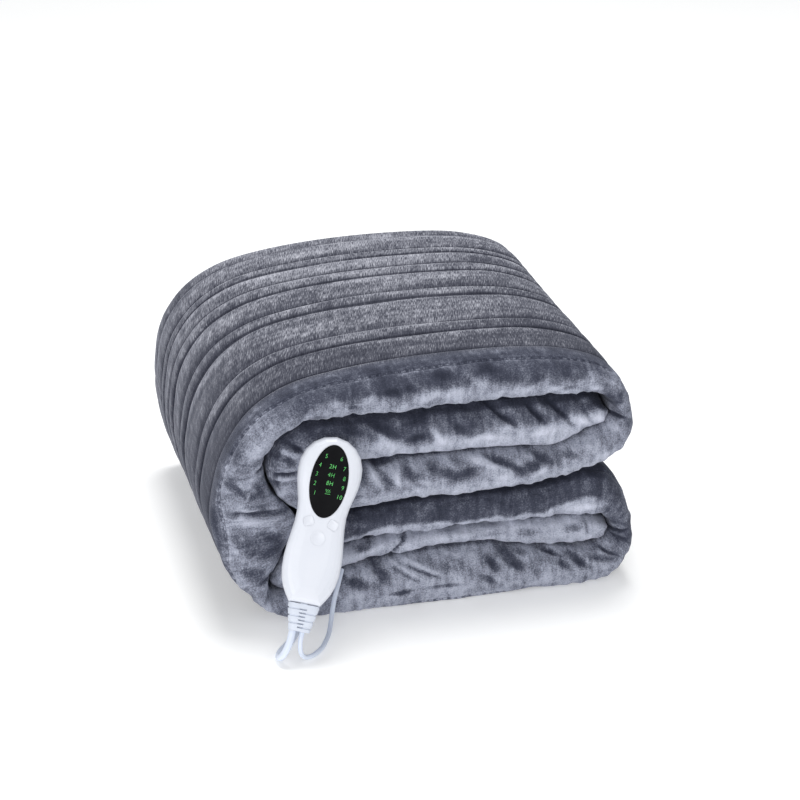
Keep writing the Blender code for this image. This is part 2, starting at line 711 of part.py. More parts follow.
def build_plug():
    """Two-pin plug: a moulded body and its blades."""
    seat = bpy.data.objects.new("plug_seat", None)
    bpy.context.scene.collection.objects.link(seat)
    seat.location = PLUG_AT
    seat.rotation_euler = (0.0, 0.0, PLUG_TURN)
    half_x, half_z = PLUG_HALF
    sections = (
        (0.0, 0.42, 0.46), (0.30, 0.50, 0.55), (0.45, 0.86, 0.90),
        (0.62, 1.00, 1.00), (0.94, 1.00, 1.00), (1.0, 0.92, 0.92),
    )
    shape = bmesh.new()
    rings = []
    for share, wide, tall in sections:
        outline = rounded_box(0, 0, half_x * wide, half_z * tall, half_z * tall * 0.8, 0.0, corner_steps=3)
        rings.append([Vector((share * PLUG_LENGTH, point.x, point.y)) for point in outline])
    bridge_rings(shape, rings)
    mesh_object("plug_body", shape, "plastic", seat)
    for name, side in (("plug_blade_left", -1), ("plug_blade_right", 1)):
        middle = side * BLADE_SPACING / 2
        half_thick, half_tall = BLADE_HALF
        rings = []
        for x, share in ((PLUG_LENGTH + CLEAR, 1.0), (PLUG_LENGTH + BLADE_LENGTH - 1.5 * MM, 1.0),
                         (PLUG_LENGTH + BLADE_LENGTH, 0.6)):
            tall = half_tall * share
            rings.append([Vector((x, middle - half_thick, -tall)), Vector((x, middle + half_thick, -tall)),
                          Vector((x, middle + half_thick, tall)), Vector((x, middle - half_thick, tall))])
        blade = bmesh.new()
        bridge_rings(blade, rings)
        mesh_object(name, blade, "metal", seat, smooth=False)


def build_leads():
    build_tube("mains_lead", relief_exit(MAINS_EXIT) + list(MAINS_ROUTE), MAINS_DIAMETER)
    build_tube("control_lead", relief_exit(CONTROL_EXIT) + list(CONTROL_ROUTE), CONTROL_DIAMETER)
    build_tube("plug_lead", TAIL_ROUTE, MAINS_DIAMETER)
    build_coil()
    build_tie()
    build_plug()


clear_scene()
build_blanket()
build_handset()
build_leads()
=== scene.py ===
"""Looks of the folded electric heated blanket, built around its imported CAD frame.

Metres, +Z up. X runs along the front, Y away from the viewer. The blanket is one
quilted plush sheet, folded to a strip of four plies and then six layers high.
"""

import bmesh
import bpy
import math
import numpy as np
from mathutils import Euler, Matrix, Vector, noise


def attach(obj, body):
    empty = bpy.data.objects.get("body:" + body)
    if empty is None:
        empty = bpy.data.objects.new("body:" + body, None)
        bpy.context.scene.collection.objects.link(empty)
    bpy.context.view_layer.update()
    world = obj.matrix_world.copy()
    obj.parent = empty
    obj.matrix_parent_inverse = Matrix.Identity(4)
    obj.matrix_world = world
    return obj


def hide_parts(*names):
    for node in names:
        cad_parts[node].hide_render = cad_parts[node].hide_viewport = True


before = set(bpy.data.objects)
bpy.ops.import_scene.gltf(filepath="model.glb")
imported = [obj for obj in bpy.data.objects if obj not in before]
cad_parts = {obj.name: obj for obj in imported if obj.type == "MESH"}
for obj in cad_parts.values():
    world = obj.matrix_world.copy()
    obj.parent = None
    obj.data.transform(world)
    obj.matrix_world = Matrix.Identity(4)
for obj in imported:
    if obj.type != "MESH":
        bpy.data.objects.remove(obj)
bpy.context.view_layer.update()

MM = 0.001

# ---- Camera at the photograph's angle ----------------------------------------
CAMERA_AT = (-0.5532, -2.1425, 1.0962)
CAMERA_ELEVATION = math.radians(23.5)
CAMERA_AZIMUTH = math.radians(-14.8)
CAMERA_LENS = 119.475


def put_in_scene(name, data):
    thing = bpy.data.objects.new(name, data)
    bpy.context.scene.collection.objects.link(thing)
    return thing


def place_camera():
    data = bpy.data.cameras.new("view")
    data.lens = CAMERA_LENS
    data.sensor_width = 36.0
    data.dof.use_dof = False
    camera = put_in_scene("view", data)
    level = math.cos(CAMERA_ELEVATION)
    back = Vector((math.sin(CAMERA_AZIMUTH) * level, -math.cos(CAMERA_AZIMUTH) * level,
                   math.sin(CAMERA_ELEVATION)))
    right = (-back).cross(Vector((0, 0, 1))).normalized()
    up = right.cross(-back)
    turned = Matrix((right, up, back)).transposed().to_4x4()
    turned.translation = Vector(CAMERA_AT)
    camera.matrix_world = turned
    bpy.context.scene.camera = camera


# ---- Places that the frame gives ---------------------------------------------
HANDSET_AT = (-0.1261, -0.2108, 0.0500)
HANDSET_LEAN = math.radians(-26.95)
HANDSET_ROLL = math.radians(14.1)
HANDSET_TURN = math.radians(-8.0)
HANDSET_SEAT = Matrix.LocRotScale(
    Vector(HANDSET_AT), Euler((HANDSET_LEAN, HANDSET_ROLL, HANDSET_TURN), "YXZ"), None)
RELIEF_LENGTH = 23.5 * MM
CLEAR = 0.3 * MM
EXIT_STEP = 2.5 * MM          # between the first points of a lead, where it leaves the relief
MAINS_EXIT = -5.4 * MM
CONTROL_EXIT = 3.0 * MM
MAINS_DIAMETER = 6.2 * MM
CONTROL_DIAMETER = 4.2 * MM

MAINS_ROUTE = (
    (-0.1422, -0.2232, 0.0210),
    (-0.1450, -0.2236, 0.0150),
    (-0.1477, -0.2216, 0.0093),
    (-0.1492, -0.2172, 0.0052),
    (-0.1488, -0.2112, 0.0034),
    (-0.1460, -0.2045, 0.0032),
    (-0.1370, -0.1925, 0.0032),
    (-0.1285, -0.1800, 0.0034),
    (-0.1212, -0.1688, 0.0066),
    (-0.1160, -0.1608, 0.0157),
    (-0.1138, -0.1578, 0.0282),
    (-0.1120, -0.1573, 0.0480),
    (-0.1108, -0.1542, 0.0615),
    (-0.1100, -0.1450, 0.0716),
    (-0.1105, -0.1320, 0.0752),
    (-0.1118, -0.1150, 0.0745),
    (-0.1145, -0.0950, 0.0720),
    (-0.1230, -0.0500, 0.0625),
    (-0.1310, 0.0100, 0.0532),
    (-0.1368, 0.0800, 0.0455),
    (-0.1386, 0.1500, 0.0425),
    (-0.1386, 0.1950, 0.0420),
    (-0.1375, 0.2180, 0.0355),
    (-0.1325, 0.2370, 0.0200),
    (-0.1200, 0.2550, 0.0070),
    (-0.1020, 0.2710, 0.0034),
    (-0.0885, 0.2880, 0.0034),
    (-0.0776, 0.3048, 0.0034),
)
CONTROL_ROUTE = (
    (-0.1327, -0.2237, 0.0218),
    (-0.1329, -0.2237, 0.0175),
    (-0.1322, -0.2227, 0.0115),
    (-0.1300, -0.2207, 0.0062),
    (-0.1261, -0.2183, 0.0031),
    (-0.1212, -0.2159, 0.0023),
    (-0.1162, -0.2118, 0.0023),
    (-0.1098, -0.2044, 0.0023),
    (-0.1045, -0.1949, 0.0023),
    (-0.0980, -0.1806, 0.0025),
    (-0.0932, -0.1680, 0.0062),
    (-0.0894, -0.1590, 0.0140),
    (-0.0863, -0.1540, 0.0222),
    (-0.0830, -0.1495, 0.0285),
    (-0.0790, -0.1430, 0.0352),
    (-0.0757, -0.1372, 0.0393),
)
TAIL_ROUTE = (
    (0.0074, 0.2928, 0.0034),
    (0.0141, 0.2875, 0.0040),
    (0.0220, 0.2844, 0.0060),
    (0.0305, 0.2838, 0.0080),
)
COIL_AT = (-0.0379, 0.2810)
COIL_MEAN_RADIUS = 34 * MM
COIL_RISE = 9.6 * MM          # height of the bundle's middle above the surface
COIL_TIE_LIFT = 1.4 * MM      # the tie under the bundle lifts it by this much
TIE_AT = math.radians(250)
TIE_REACH = 0.5               # angle on each side of the tie over which the bundle is lifted
BUNDLE_RADIUS = MAINS_DIAMETER * 1.02   # from the bundle's middle to the middle of each lead
LEAD_IN_ANGLE = math.radians(120.3)
LEAD_IN_SPREAD = math.radians(50)
LEAD_IN_RADIUS = 46.2 * MM
LEAD_IN_HEIGHT = 3.4 * MM
BUNDLE_START = math.radians(-50)
BUNDLE_TWIST = math.radians(-60)        # how far the bundle turns in one turn of the coil
TAIL_ANGLE = math.radians(25)
TAIL_SPREAD = math.radians(50)
TAIL_RADIUS = 44.8 * MM
TAIL_EARLY = 1.15             # the tail moves outwards a little later than it comes down
COIL_TURNS = 5
POINTS_PER_TURN = 24


def handset_point(x, y, z):
    return tuple(HANDSET_SEAT @ Vector((x, y, z)))


def relief_exit(across_relief):
    """First points of a lead, where it leaves the relief straight on."""
    start = -RELIEF_LENGTH - CLEAR
    return [handset_point(across_relief, 0.0, start - k * EXIT_STEP) for k in range(3)]


def ease(value):
    value = min(max(value, 0.0), 1.0)
    return value * value * (3 - 2 * value)


def coil_route():
    """Turns of the coil: a bundle that twists slowly as it goes round, clockwise.

    Five or six leads lie round the bundle's middle, a diameter apart, so each turn
    lies beside the one before it.
    """
    points = []
    whole = 2 * math.pi * COIL_TURNS + LEAD_IN_ANGLE - TAIL_ANGLE
    count = round(whole / (2 * math.pi) * POINTS_PER_TURN)
    for k in range(count + 1):
        gone = whole * k / count
        angle = LEAD_IN_ANGLE - gone
        around = BUNDLE_START + BUNDLE_TWIST * gone / (2 * math.pi)
        from_tie = math.remainder(angle - TIE_AT, 2 * math.pi) / TIE_REACH
        radius = COIL_MEAN_RADIUS + BUNDLE_RADIUS * math.cos(around)
        height = COIL_RISE + COIL_TIE_LIFT * math.exp(-from_tie ** 2) + BUNDLE_RADIUS * math.sin(around)
        inward = ease(gone / LEAD_IN_SPREAD)
        radius = LEAD_IN_RADIUS + (radius - LEAD_IN_RADIUS) * inward
        height = LEAD_IN_HEIGHT + (height - LEAD_IN_HEIGHT) * inward
        left = (whole - gone) / TAIL_SPREAD
        radius = TAIL_RADIUS + (radius - TAIL_RADIUS) * ease(left * TAIL_EARLY)
        height = LEAD_IN_HEIGHT + (height - LEAD_IN_HEIGHT) * ease(left)
        points.append((COIL_AT[0] + radius * math.cos(angle),
                       COIL_AT[1] + radius * math.sin(angle), height))
    return points


def lead_curve(name, route, diameter, finish):
    """A round lead along one smooth curve through its route."""
    data = bpy.data.curves.new(name, "CURVE")
    data.dimensions = "3D"
    data.bevel_depth = diameter / 2
    data.bevel_resolution = 4
    data.resolution_u = 5
    data.use_fill_caps = True
    line = data.splines.new("BEZIER")
    line.bezier_points.add(len(route) - 1)
    for knot, point in zip(line.bezier_points, route):
        knot.co = point
        knot.handle_left_type = knot.handle_right_type = "AUTO"
    data.materials.append(finish)
    return put_in_scene(name, data)


# ---- Materials -----------------------------------------------------------------
def new_finish(name, roughness, **sockets):
    """A material with its shader; sockets are set by name, with _ for a space."""
    made = bpy.data.materials.new(name)
    made.use_nodes = True
    nodes = made.node_tree.nodes
    shader = nodes["Principled BSDF"]
    shader.inputs["Roughness"].default_value = roughness
    for socket, value in sockets.items():
        shader.inputs[socket.replace("_", " ")].default_value = value
    return made, nodes, made.node_tree.links, shader


def add_node(nodes, kind, **settings):
    node = nodes.new(kind)
    for setting, value in settings.items():
        if hasattr(node, setting):
            setattr(node, setting, value)
        else:
            node.inputs[setting.replace("_", " ")].default_value = value
    return node


def noise_at(nodes, links, source, scale, detail=3.0, stretch=(1, 1, 1), roughness=0.55, swirl=0.0):
    """Noise on a coordinate, stretched by a mapping."""
    mapping = add_node(nodes, "ShaderNodeMapping")
    mapping.inputs["Scale"].default_value = stretch
    links.new(source, mapping.inputs["Vector"])
    texture = add_node(nodes, "ShaderNodeTexNoise", Scale=scale, Detail=detail, Roughness=roughness,
                       Distortion=swirl)
    links.new(mapping.outputs["Vector"], texture.inputs["Vector"])
    return texture.outputs["Fac"]


def ramp(nodes, links, factor, stops):
    """Colour ramp; stops are (place, colour)."""
    node = add_node(nodes, "ShaderNodeValToRGB")
    elements = node.color_ramp.elements
    while len(elements) < len(stops):
        elements.new(0.5)
    for element, (place, colour) in zip(elements, stops):
        element.position = place
        element.color = (*colour, 1.0)
    links.new(factor, node.inputs["Fac"])
    return node.outputs["Color"]


def object_place(nodes):
    return add_node(nodes, "ShaderNodeTexCoord").outputs["Object"]


def drift_colour(nodes, links, shader, place, scale, shade, colour, detail=3.0, spread=0.2):
    """Base colour that drifts between two close tones."""
    drift = noise_at(nodes, links, place, scale, detail)
    mixed = ramp(nodes, links, drift, ((0.5 - spread, shade), (0.5 + spread, colour)))
    links.new(mixed, shader.inputs["Base Color"])
    return mixed


def bump(nodes, links, shader, height, distance, strength=1.0, below=None):
    node = add_node(nodes, "ShaderNodeBump", Strength=strength, Distance=distance)
    links.new(height, node.inputs["Height"])
    if below is not None:
        links.new(below, node.inputs["Normal"])
    links.new(node.outputs["Normal"], shader.inputs["Normal"])
    return node.outputs["Normal"]


#       place in the ramp, colour: dark to light; the tone holds crushed and raised pile as well as painted
#           shade and painted light
PLUSH_TONES = (
    (0.00, (0.024, 0.027, 0.042)),
    (0.28, (0.055, 0.060, 0.086)),
    (0.42, (0.110, 0.118, 0.154)),
    (0.55, (0.215, 0.228, 0.284)),
    (0.68, (0.340, 0.360, 0.438)),
    (1.00, (0.560, 0.580, 0.680)),
)
QUILTED_TINT = (1.04, 1.00, 0.93)       # the quilted face shows a little less blue
STITCH_ROW = 24.6 * MM        # distance of the row of stitches from the front fold
STITCH_PITCH = 6.5 * MM
THREAD_HALF = 0.45 * MM       # half the width of that row
THREAD_LIGHTER = 0.16
NAP_LEAN = 0.27               # sideways lean of the pile, as a share of its length
LEAST_TUFTS = 0.25            # strength of the tufts where the cloth stands upright
# The seam attribute is painted shade in and behind each stitch line and a painted highlight before it.
SEAM_SHADING_GAIN = 0.24              # how far the seam attribute moves the tone


def plush_finish():
    """Short pile cloth: crushed patches at the front, upright tufts on the quilted face."""
    made, nodes, links, shader = new_finish("plush_cloth", 0.95, Sheen_Weight=0.15,
                                            Sheen_Roughness=0.35, Specular_IOR_Level=0.12)
    shader.inputs["Sheen Tint"].default_value = (0.80, 0.84, 1.0, 1.0)
    sheet = add_node(nodes, "ShaderNodeUVMap", uv_map="cloth").outputs["UV"]
    nap_and_painted_light, quilted, seam_shading = (add_node(nodes, "ShaderNodeAttribute", attribute_name=name).outputs["Fac"]
                          for name in ("nap_and_painted_light", "quilted", "seam_shading"))

    def reckon(operation, first, second=0.0):
        """Math node on two sockets or numbers."""
        node = add_node(nodes, "ShaderNodeMath", operation=operation)
        for socket, value in zip(node.inputs, (first, second)):
            if isinstance(value, (int, float)):
                socket.default_value = value
            else:
                links.new(value, socket)
        return node.outputs[0]

    def noise_of(source, across, up, detail=2.0, roughness=0.6, swirl=0.0):
        return noise_at(nodes, links, source, 1.0, detail, (across, up, 1.0), roughness, swirl)

    def centred(value, gain):
        return reckon("MULTIPLY", reckon("SUBTRACT", value, 0.5), gain)

    def total(*values):
        whole = values[0]
        for value in values[1:]:
            whole = reckon("ADD", whole, value)
        return whole

    # The pile leans a little, so its tufts are sheared across the sheet.
    split = add_node(nodes, "ShaderNodeSeparateXYZ")
    links.new(sheet, split.inputs[0])
    sheared = add_node(nodes, "ShaderNodeCombineXYZ")
    leant = reckon("ADD", split.outputs["X"], reckon("MULTIPLY", split.outputs["Y"], NAP_LEAN))
    links.new(leant, sheared.inputs["X"])
    links.new(split.outputs["Y"], sheared.inputs["Y"])
    leaning = sheared.outputs[0]

    tufts = noise_of(leaning, 1400.0, 130.0, detail=1.0, roughness=0.5)
    broad = noise_of(sheet, 12.0, 60.0, detail=4.0)
    streaks = noise_of(leaning, 150.0, 30.0)
    specks = noise_of(sheet, 720.0, 720.0, detail=2.0, roughness=0.8)
    drags = noise_of(sheet, 170.0, 45.0, detail=3.0, swirl=0.4)
    crushed = noise_of(sheet, 55.0, 60.0, detail=8.0, roughness=0.68, swirl=0.4)
    upward = add_node(nodes, "ShaderNodeSeparateXYZ")
    links.new(add_node(nodes, "ShaderNodeNewGeometry").outputs["Normal"], upward.inputs[0])
    flat = reckon("MAXIMUM", upward.outputs["Z"], LEAST_TUFTS)
    loose = reckon("SUBTRACT", 1.0, quilted)

    on_front = total(centred(crushed, 0.85), centred(specks, 0.75), centred(drags, 0.55))
    on_top = total(reckon("MULTIPLY", centred(tufts, 1.1), flat), centred(specks, 0.45),
                   centred(streaks, 0.45), centred(broad, 0.7))

    # A row of light stitches runs along the front edge of the quilting.
    beside = reckon("ABSOLUTE", reckon("SUBTRACT", split.outputs["Y"], STITCH_ROW))
    turns = reckon("MULTIPLY", split.outputs["X"], 2 * math.pi / STITCH_PITCH)
    in_stitch = reckon("GREATER_THAN", reckon("SINE", turns), -0.2)
    thread = reckon("MULTIPLY", reckon("LESS_THAN", beside, THREAD_HALF), in_stitch)

    # The tone holds the painted sheen, shade and highlights of the nap and seam attributes, over the pile's
    # own texture.
    tone = total(nap_and_painted_light, reckon("MULTIPLY", thread, THREAD_LIGHTER), reckon("MULTIPLY", on_front, loose),
                 reckon("MULTIPLY", on_top, quilted), reckon("MULTIPLY", seam_shading, SEAM_SHADING_GAIN))
    colour = ramp(nodes, links, tone, PLUSH_TONES)
    tint = add_node(nodes, "ShaderNodeMix", data_type="RGBA", blend_type="MULTIPLY")
    links.new(quilted, tint.inputs[0])
    links.new(colour, tint.inputs[6])
    tint.inputs[7].default_value = (*QUILTED_TINT, 1.0)
    links.new(tint.outputs[2], shader.inputs["Base Color"])

    pile = reckon("ADD", reckon("MULTIPLY", tufts, quilted), reckon("MULTIPLY", specks, loose))
    below = bump(nodes, links, shader, pile, 0.8 * MM, 0.7)
    bump(nodes, links, shader, crushed, 2.0 * MM, 0.35, below=below)
    return made


def moulded_finish(name, colour, shade, roughness):
    """Moulded plastic with a fine spark-eroded grain and a hint of colour drift."""
    made, nodes, links, shader = new_finish(name, roughness, Coat_Weight=0.05, Coat_Roughness=0.3)
    place = object_place(nodes)
    drift_colour(nodes, links, shader, place, 30.0, shade, colour, detail=2.0, spread=0.15)
    grain = noise_at(nodes, links, place, 1400.0, detail=2.0)
    bump(nodes, links, shader, grain, 0.05 * MM, 0.35)
    return made


def gloss_finish():
    """Black window: deep gloss with a faint smear of fingerprints in its roughness."""
    made, nodes, links, shader = new_finish("window_black", 0.10, Specular_IOR_Level=0.15)
    place = object_place(nodes)
    drift_colour(nodes, links, shader, place, 60.0, (0.003, 0.003, 0.004), (0.007, 0.007, 0.008))
    smear = noise_at(nodes, links, place, 180.0, detail=4.0)
    spread = add_node(nodes, "ShaderNodeMapRange")
    spread.inputs["To Min"].default_value = 0.05
    spread.inputs["To Max"].default_value = 0.16
    links.new(smear, spread.inputs["Value"])
    links.new(spread.outputs["Result"], shader.inputs["Roughness"])
    return made


def lit_finish():
    """Green marks, lit from behind, a little uneven from one to the next."""
    made, nodes, links, shader = new_finish("display_green", 0.5, Emission_Strength=0.18)
    green = drift_colour(nodes, links, shader, object_place(nodes), 110.0, (0.060, 0.420, 0.085),
                         (0.140, 0.640, 0.170), detail=1.0)
    links.new(green, shader.inputs["Emission Color"])
    return made


def blade_finish():
    """Plated brass blades: fine rolling marks along their length."""
    made, nodes, links, shader = new_finish("blade_brass", 0.28, Metallic=1.0)
    place = object_place(nodes)
    drift_colour(nodes, links, shader, place, 90.0, (0.74, 0.66, 0.50), (0.84, 0.78, 0.62))
    marks = noise_at(nodes, links, place, 1.0, detail=2.0, stretch=(60.0, 2500.0, 2500.0))
    bump(nodes, links, shader, marks, 0.02 * MM, 0.5)
    return made


def tie_finish():
    """Black band with a woven rib across it."""
    made, nodes, links, shader = new_finish("tie_black", 0.75)
    place = object_place(nodes)
    drift_colour(nodes, links, shader, place, 120.0, (0.018, 0.018, 0.020), (0.040, 0.040, 0.043))
    rib = add_node(nodes, "ShaderNodeTexWave", Scale=700.0, Distortion=0.5)
    links.new(place, rib.inputs["Vector"])
    bump(nodes, links, shader, rib.outputs["Fac"], 0.2 * MM, 0.5)
    return made


LEAD_COLOUR = (0.700, 0.760, 0.880)
LEAD_SHADE = (0.640, 0.700, 0.830)
HOUSING_COLOUR = (0.690, 0.710, 0.770)
HOUSING_SHADE = (0.670, 0.692, 0.755)
RELIEF_COLOUR = (0.640, 0.680, 0.770)
RELIEF_SHADE = (0.600, 0.645, 0.740)


# ---- Leads ---------------------------------------------------------------------
def make_leads():
    jacket = moulded_finish("lead_jacket_satin", LEAD_COLOUR, LEAD_SHADE, 0.42)
    whole_route = relief_exit(MAINS_EXIT) + list(MAINS_ROUTE) + coil_route() + list(TAIL_ROUTE)
    mains = lead_curve("mains_cord", whole_route, MAINS_DIAMETER, jacket)
    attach(mains, "root")
    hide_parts("mains_lead", "mains_coil", "plug_lead")
    short_route = relief_exit(CONTROL_EXIT) + list(CONTROL_ROUTE)
    control = lead_curve("control_cord", short_route, CONTROL_DIAMETER, jacket)
    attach(control, "root")
    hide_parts("control_lead")


# ---- Shaping by hand -------------------------------------------------------------
def pick_alone(piece):
    bpy.ops.object.select_all(action="DESELECT")
    piece.select_set(True)
    bpy.context.view_layer.objects.active = piece


def open_for_editing(name):
    """Names the piece just added, keeps its place and size in its mesh, and opens it.

    Edit mode starts with nothing selected.
    """
    piece = bpy.context.object
    piece.name = name
    pick_alone(piece)
    bpy.ops.object.transform_apply(location=True, rotation=True, scale=True)
    bpy.ops.object.mode_set(mode="EDIT")
    bpy.ops.mesh.select_mode(type="FACE")
    bpy.ops.mesh.select_all(action="DESELECT")
    return piece


def close_editing(piece, smooth_angle=35):
    bpy.ops.object.mode_set(mode="OBJECT")
    bpy.ops.object.shade_smooth_by_angle(angle=math.radians(smooth_angle))
    piece.select_set(False)


def pick(piece, kind, wanted):
    """Selects the points (VERT), edges (EDGE) or faces (FACE) for which wanted holds."""
    bpy.ops.mesh.select_mode(type=kind)
    form = bmesh.from_edit_mesh(piece.data)
    for element in {"VERT": form.verts, "EDGE": form.edges, "FACE": form.faces}[kind]:
        element.select_set(wanted(element))
    form.select_flush_mode()
    bmesh.update_edit_mesh(piece.data)


def pick_faces(piece, wanted):
    """Selects the faces for which wanted(middle, normal) holds."""
    pick(piece, "FACE", lambda face: wanted(face.calc_center_median(), face.normal))


def pick_edges(piece, wanted):
    """Selects the edges for which wanted(one end, other end) holds."""
    pick(piece, "EDGE", lambda edge: wanted(edge.verts[0].co, edge.verts[1].co))


def scale_section(piece, axis, place, factors):
    """Scales the points at one place along an axis (0 for X, 2 for Z) about that place."""
    pick(piece, "VERT", lambda point: abs(point.co[axis] - place) < 0.01 * MM)
    middle = [0.0, 0.0, 0.0]
    middle[axis] = place
    bpy.ops.transform.resize(value=factors, center_override=middle)


def cut_across(places, normal):
    """Bisects the whole piece at these places along the normal."""
    for place in places:
        bpy.ops.mesh.select_all(action="SELECT")
        bpy.ops.mesh.bisect(plane_co=[place * part for part in normal], plane_no=normal)
    bpy.ops.mesh.select_all(action="DESELECT")


def add_bevel(piece, width, segments=2, angle=40):
    """Bevel modifier on sharp edges, applied."""
    edge = piece.modifiers.new("edge_round", "BEVEL")
    edge.width = width
    edge.segments = segments
    edge.limit_method = "ANGLE"
    edge.angle_limit = math.radians(angle)
    pick_alone(piece)
    bpy.ops.object.modifier_apply(modifier=edge.name)


def seat_piece(piece, place, body, slot, finish, *nodes):
    """Moves the mesh to its place, gives it its finish, hangs it on its body and hides the nodes it
    replaces.
    """
    piece.data.transform(place)
    piece.data.update()
    piece.data.materials.clear()
    piece.data.materials.append(finish)
    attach(piece, body)
    if nodes:
        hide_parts(*nodes)
    piece.select_set(False)


# ---- Controller --------------------------------------------------------------------
WINDOW_MIDDLE = 104.5 * MM
WINDOW_HALF = (15.8 * MM, 31.0 * MM)
WINDOW_TOP = 10.9 * MM
WINDOW_THICK = 1.4 * MM
WINDOW_BORDERS = (1.5 * MM, 3.0 * MM)   # widths of the two outer rings of its face
WINDOW_CROWN = 0.04 * MM                # by which each ring's inner edge stands further out
KEY_TOP = 10.8 * MM
KEY_GAP = 0.18 * MM                  # by which a cap is larger than the size given for its key
KEY_FLANGE = 1.2 * MM
KEY_FLANGE_THICK = 1.0 * MM
KEY_RIM = 1.4 * MM
KEY_STEP_SLOPE = 0.25 * MM
KEY_STEP_DEEP = 0.12 * MM
FACING = math.radians(90)            # turns a disc's axis from Z to the face's, which is -Y


def make_window():
    """Glossy oval window with a rounded edge and a slightly crowned face."""
    bpy.ops.mesh.primitive_cylinder_add(vertices=96, radius=1, depth=WINDOW_THICK,
                                        location=(0, WINDOW_THICK / 2 - WINDOW_TOP, WINDOW_MIDDLE),
                                        rotation=(FACING, 0, 0))
    bpy.context.object.scale = (*WINDOW_HALF, 1)
    window = open_for_editing("window_glass")
    pick_faces(window, lambda middle, normal: normal.y < -0.9)
    for border in WINDOW_BORDERS:
        bpy.ops.mesh.inset(thickness=border)
        bpy.ops.transform.translate(value=(0, -WINDOW_CROWN, 0))
    bpy.ops.mesh.extrude_region()
    bpy.ops.transform.resize(value=(0.6, 1, 0.6))
    bpy.ops.transform.translate(value=(0, -WINDOW_CROWN / 2, 0))
    close_editing(window, 60)
    add_bevel(window, 0.3 * MM, segments=3, angle=60)
    seat_piece(window, HANDSET_SEAT, "root", "display_gloss", gloss_finish(), "display_window")


def key_blank(name, half_x, half_z, corner, flange_top):
    """A key's cap on its flange, in the controller's own frame, open for editing."""
    height = KEY_TOP - flange_top + KEY_FLANGE_THICK
    middle = (0, height / 2 - KEY_TOP, 0)
    if corner < half_z:
        bpy.ops.mesh.primitive_cube_add(size=2, location=middle,
                                        scale=(half_x + KEY_GAP, height / 2, half_z + KEY_GAP))
    else:
        bpy.ops.mesh.primitive_cylinder_add(vertices=64, radius=half_x + KEY_GAP, depth=height,
                                            location=middle, rotation=(FACING, 0, 0))
    key = open_for_editing(name)
    if corner < half_z:
        pick_edges(key, lambda one, other: abs(one.y - other.y) > height / 2)
        bpy.ops.mesh.bevel(offset=corner + KEY_GAP, segments=8, affect="EDGES")
    cut_across([-flange_top], (0, 1, 0))
    pick_faces(key, lambda middle, normal: middle.y > -flange_top and abs(normal.y) < 0.5)
    spread = KEY_FLANGE - KEY_GAP
    bpy.ops.mesh.extrude_region_shrink_fatten(TRANSFORM_OT_shrink_fatten={"value": spread})
    return key


#    node, body, x, z, half width, half height, corner (mm), turn (degrees), flange top (mm)
KEYS = (
    ("key_power", "power", 0.0, 55.8, 6.0, 6.0, 6.0, 0, 8.0),
    ("key_heat", "heat", -10.4, 68.9, 4.2, 3.8, 2.2, 24, 6.5),
    ("key_timer", "timer", 10.4, 68.9, 4.2, 3.8, 2.2, -24, 6.5),
)


def make_keys(finish):
    """Three push keys, each with a shallow step on its face that the thumb finds."""
    for node, body, x, z, half_x, half_z, corner, turn, flange_top in KEYS:
        key = key_blank(node + "_cap", half_x * MM, half_z * MM, corner * MM, flange_top * MM)
        pick_faces(key, lambda middle, normal: normal.y < -0.9 and middle.y < 0.1 * MM - KEY_TOP)
        bpy.ops.mesh.inset(thickness=KEY_RIM)
        bpy.ops.mesh.inset(thickness=KEY_STEP_SLOPE)
        bpy.ops.transform.translate(value=(0, KEY_STEP_DEEP, 0))
        close_editing(key)
        add_bevel(key, 0.15 * MM, segments=2, angle=50)
        seat = HANDSET_SEAT @ Matrix.Translation((x * MM, 0, z * MM)) @ Matrix.Rotation(
            -math.radians(turn), 4, "Y")
        seat_piece(key, seat, body, "housing_plastic", finish, node)


RELIEF_TOP = (13.2 * MM, 5.2 * MM)      # half width and half depth at the housing
RELIEF_END = (9.2 * MM, 3.9 * MM)       # and at the free end
RELIEF_COLLAR = 3.4 * MM                # plain band next to the housing
COLLAR_EDGE = 0.6 * MM                  # of which this much, at its lower edge, belongs to the taper
SLOT_PITCH = 3.05 * MM
SLOT_TALL = 1.15 * MM
SLOT_COUNT = 6
SLOT_DEEP = 0.9 * MM
SLOT_DEEPER = 1.8 * MM                  # and by this much more near the middle
SLOT_PAST_MIDDLE = 3.0 * MM


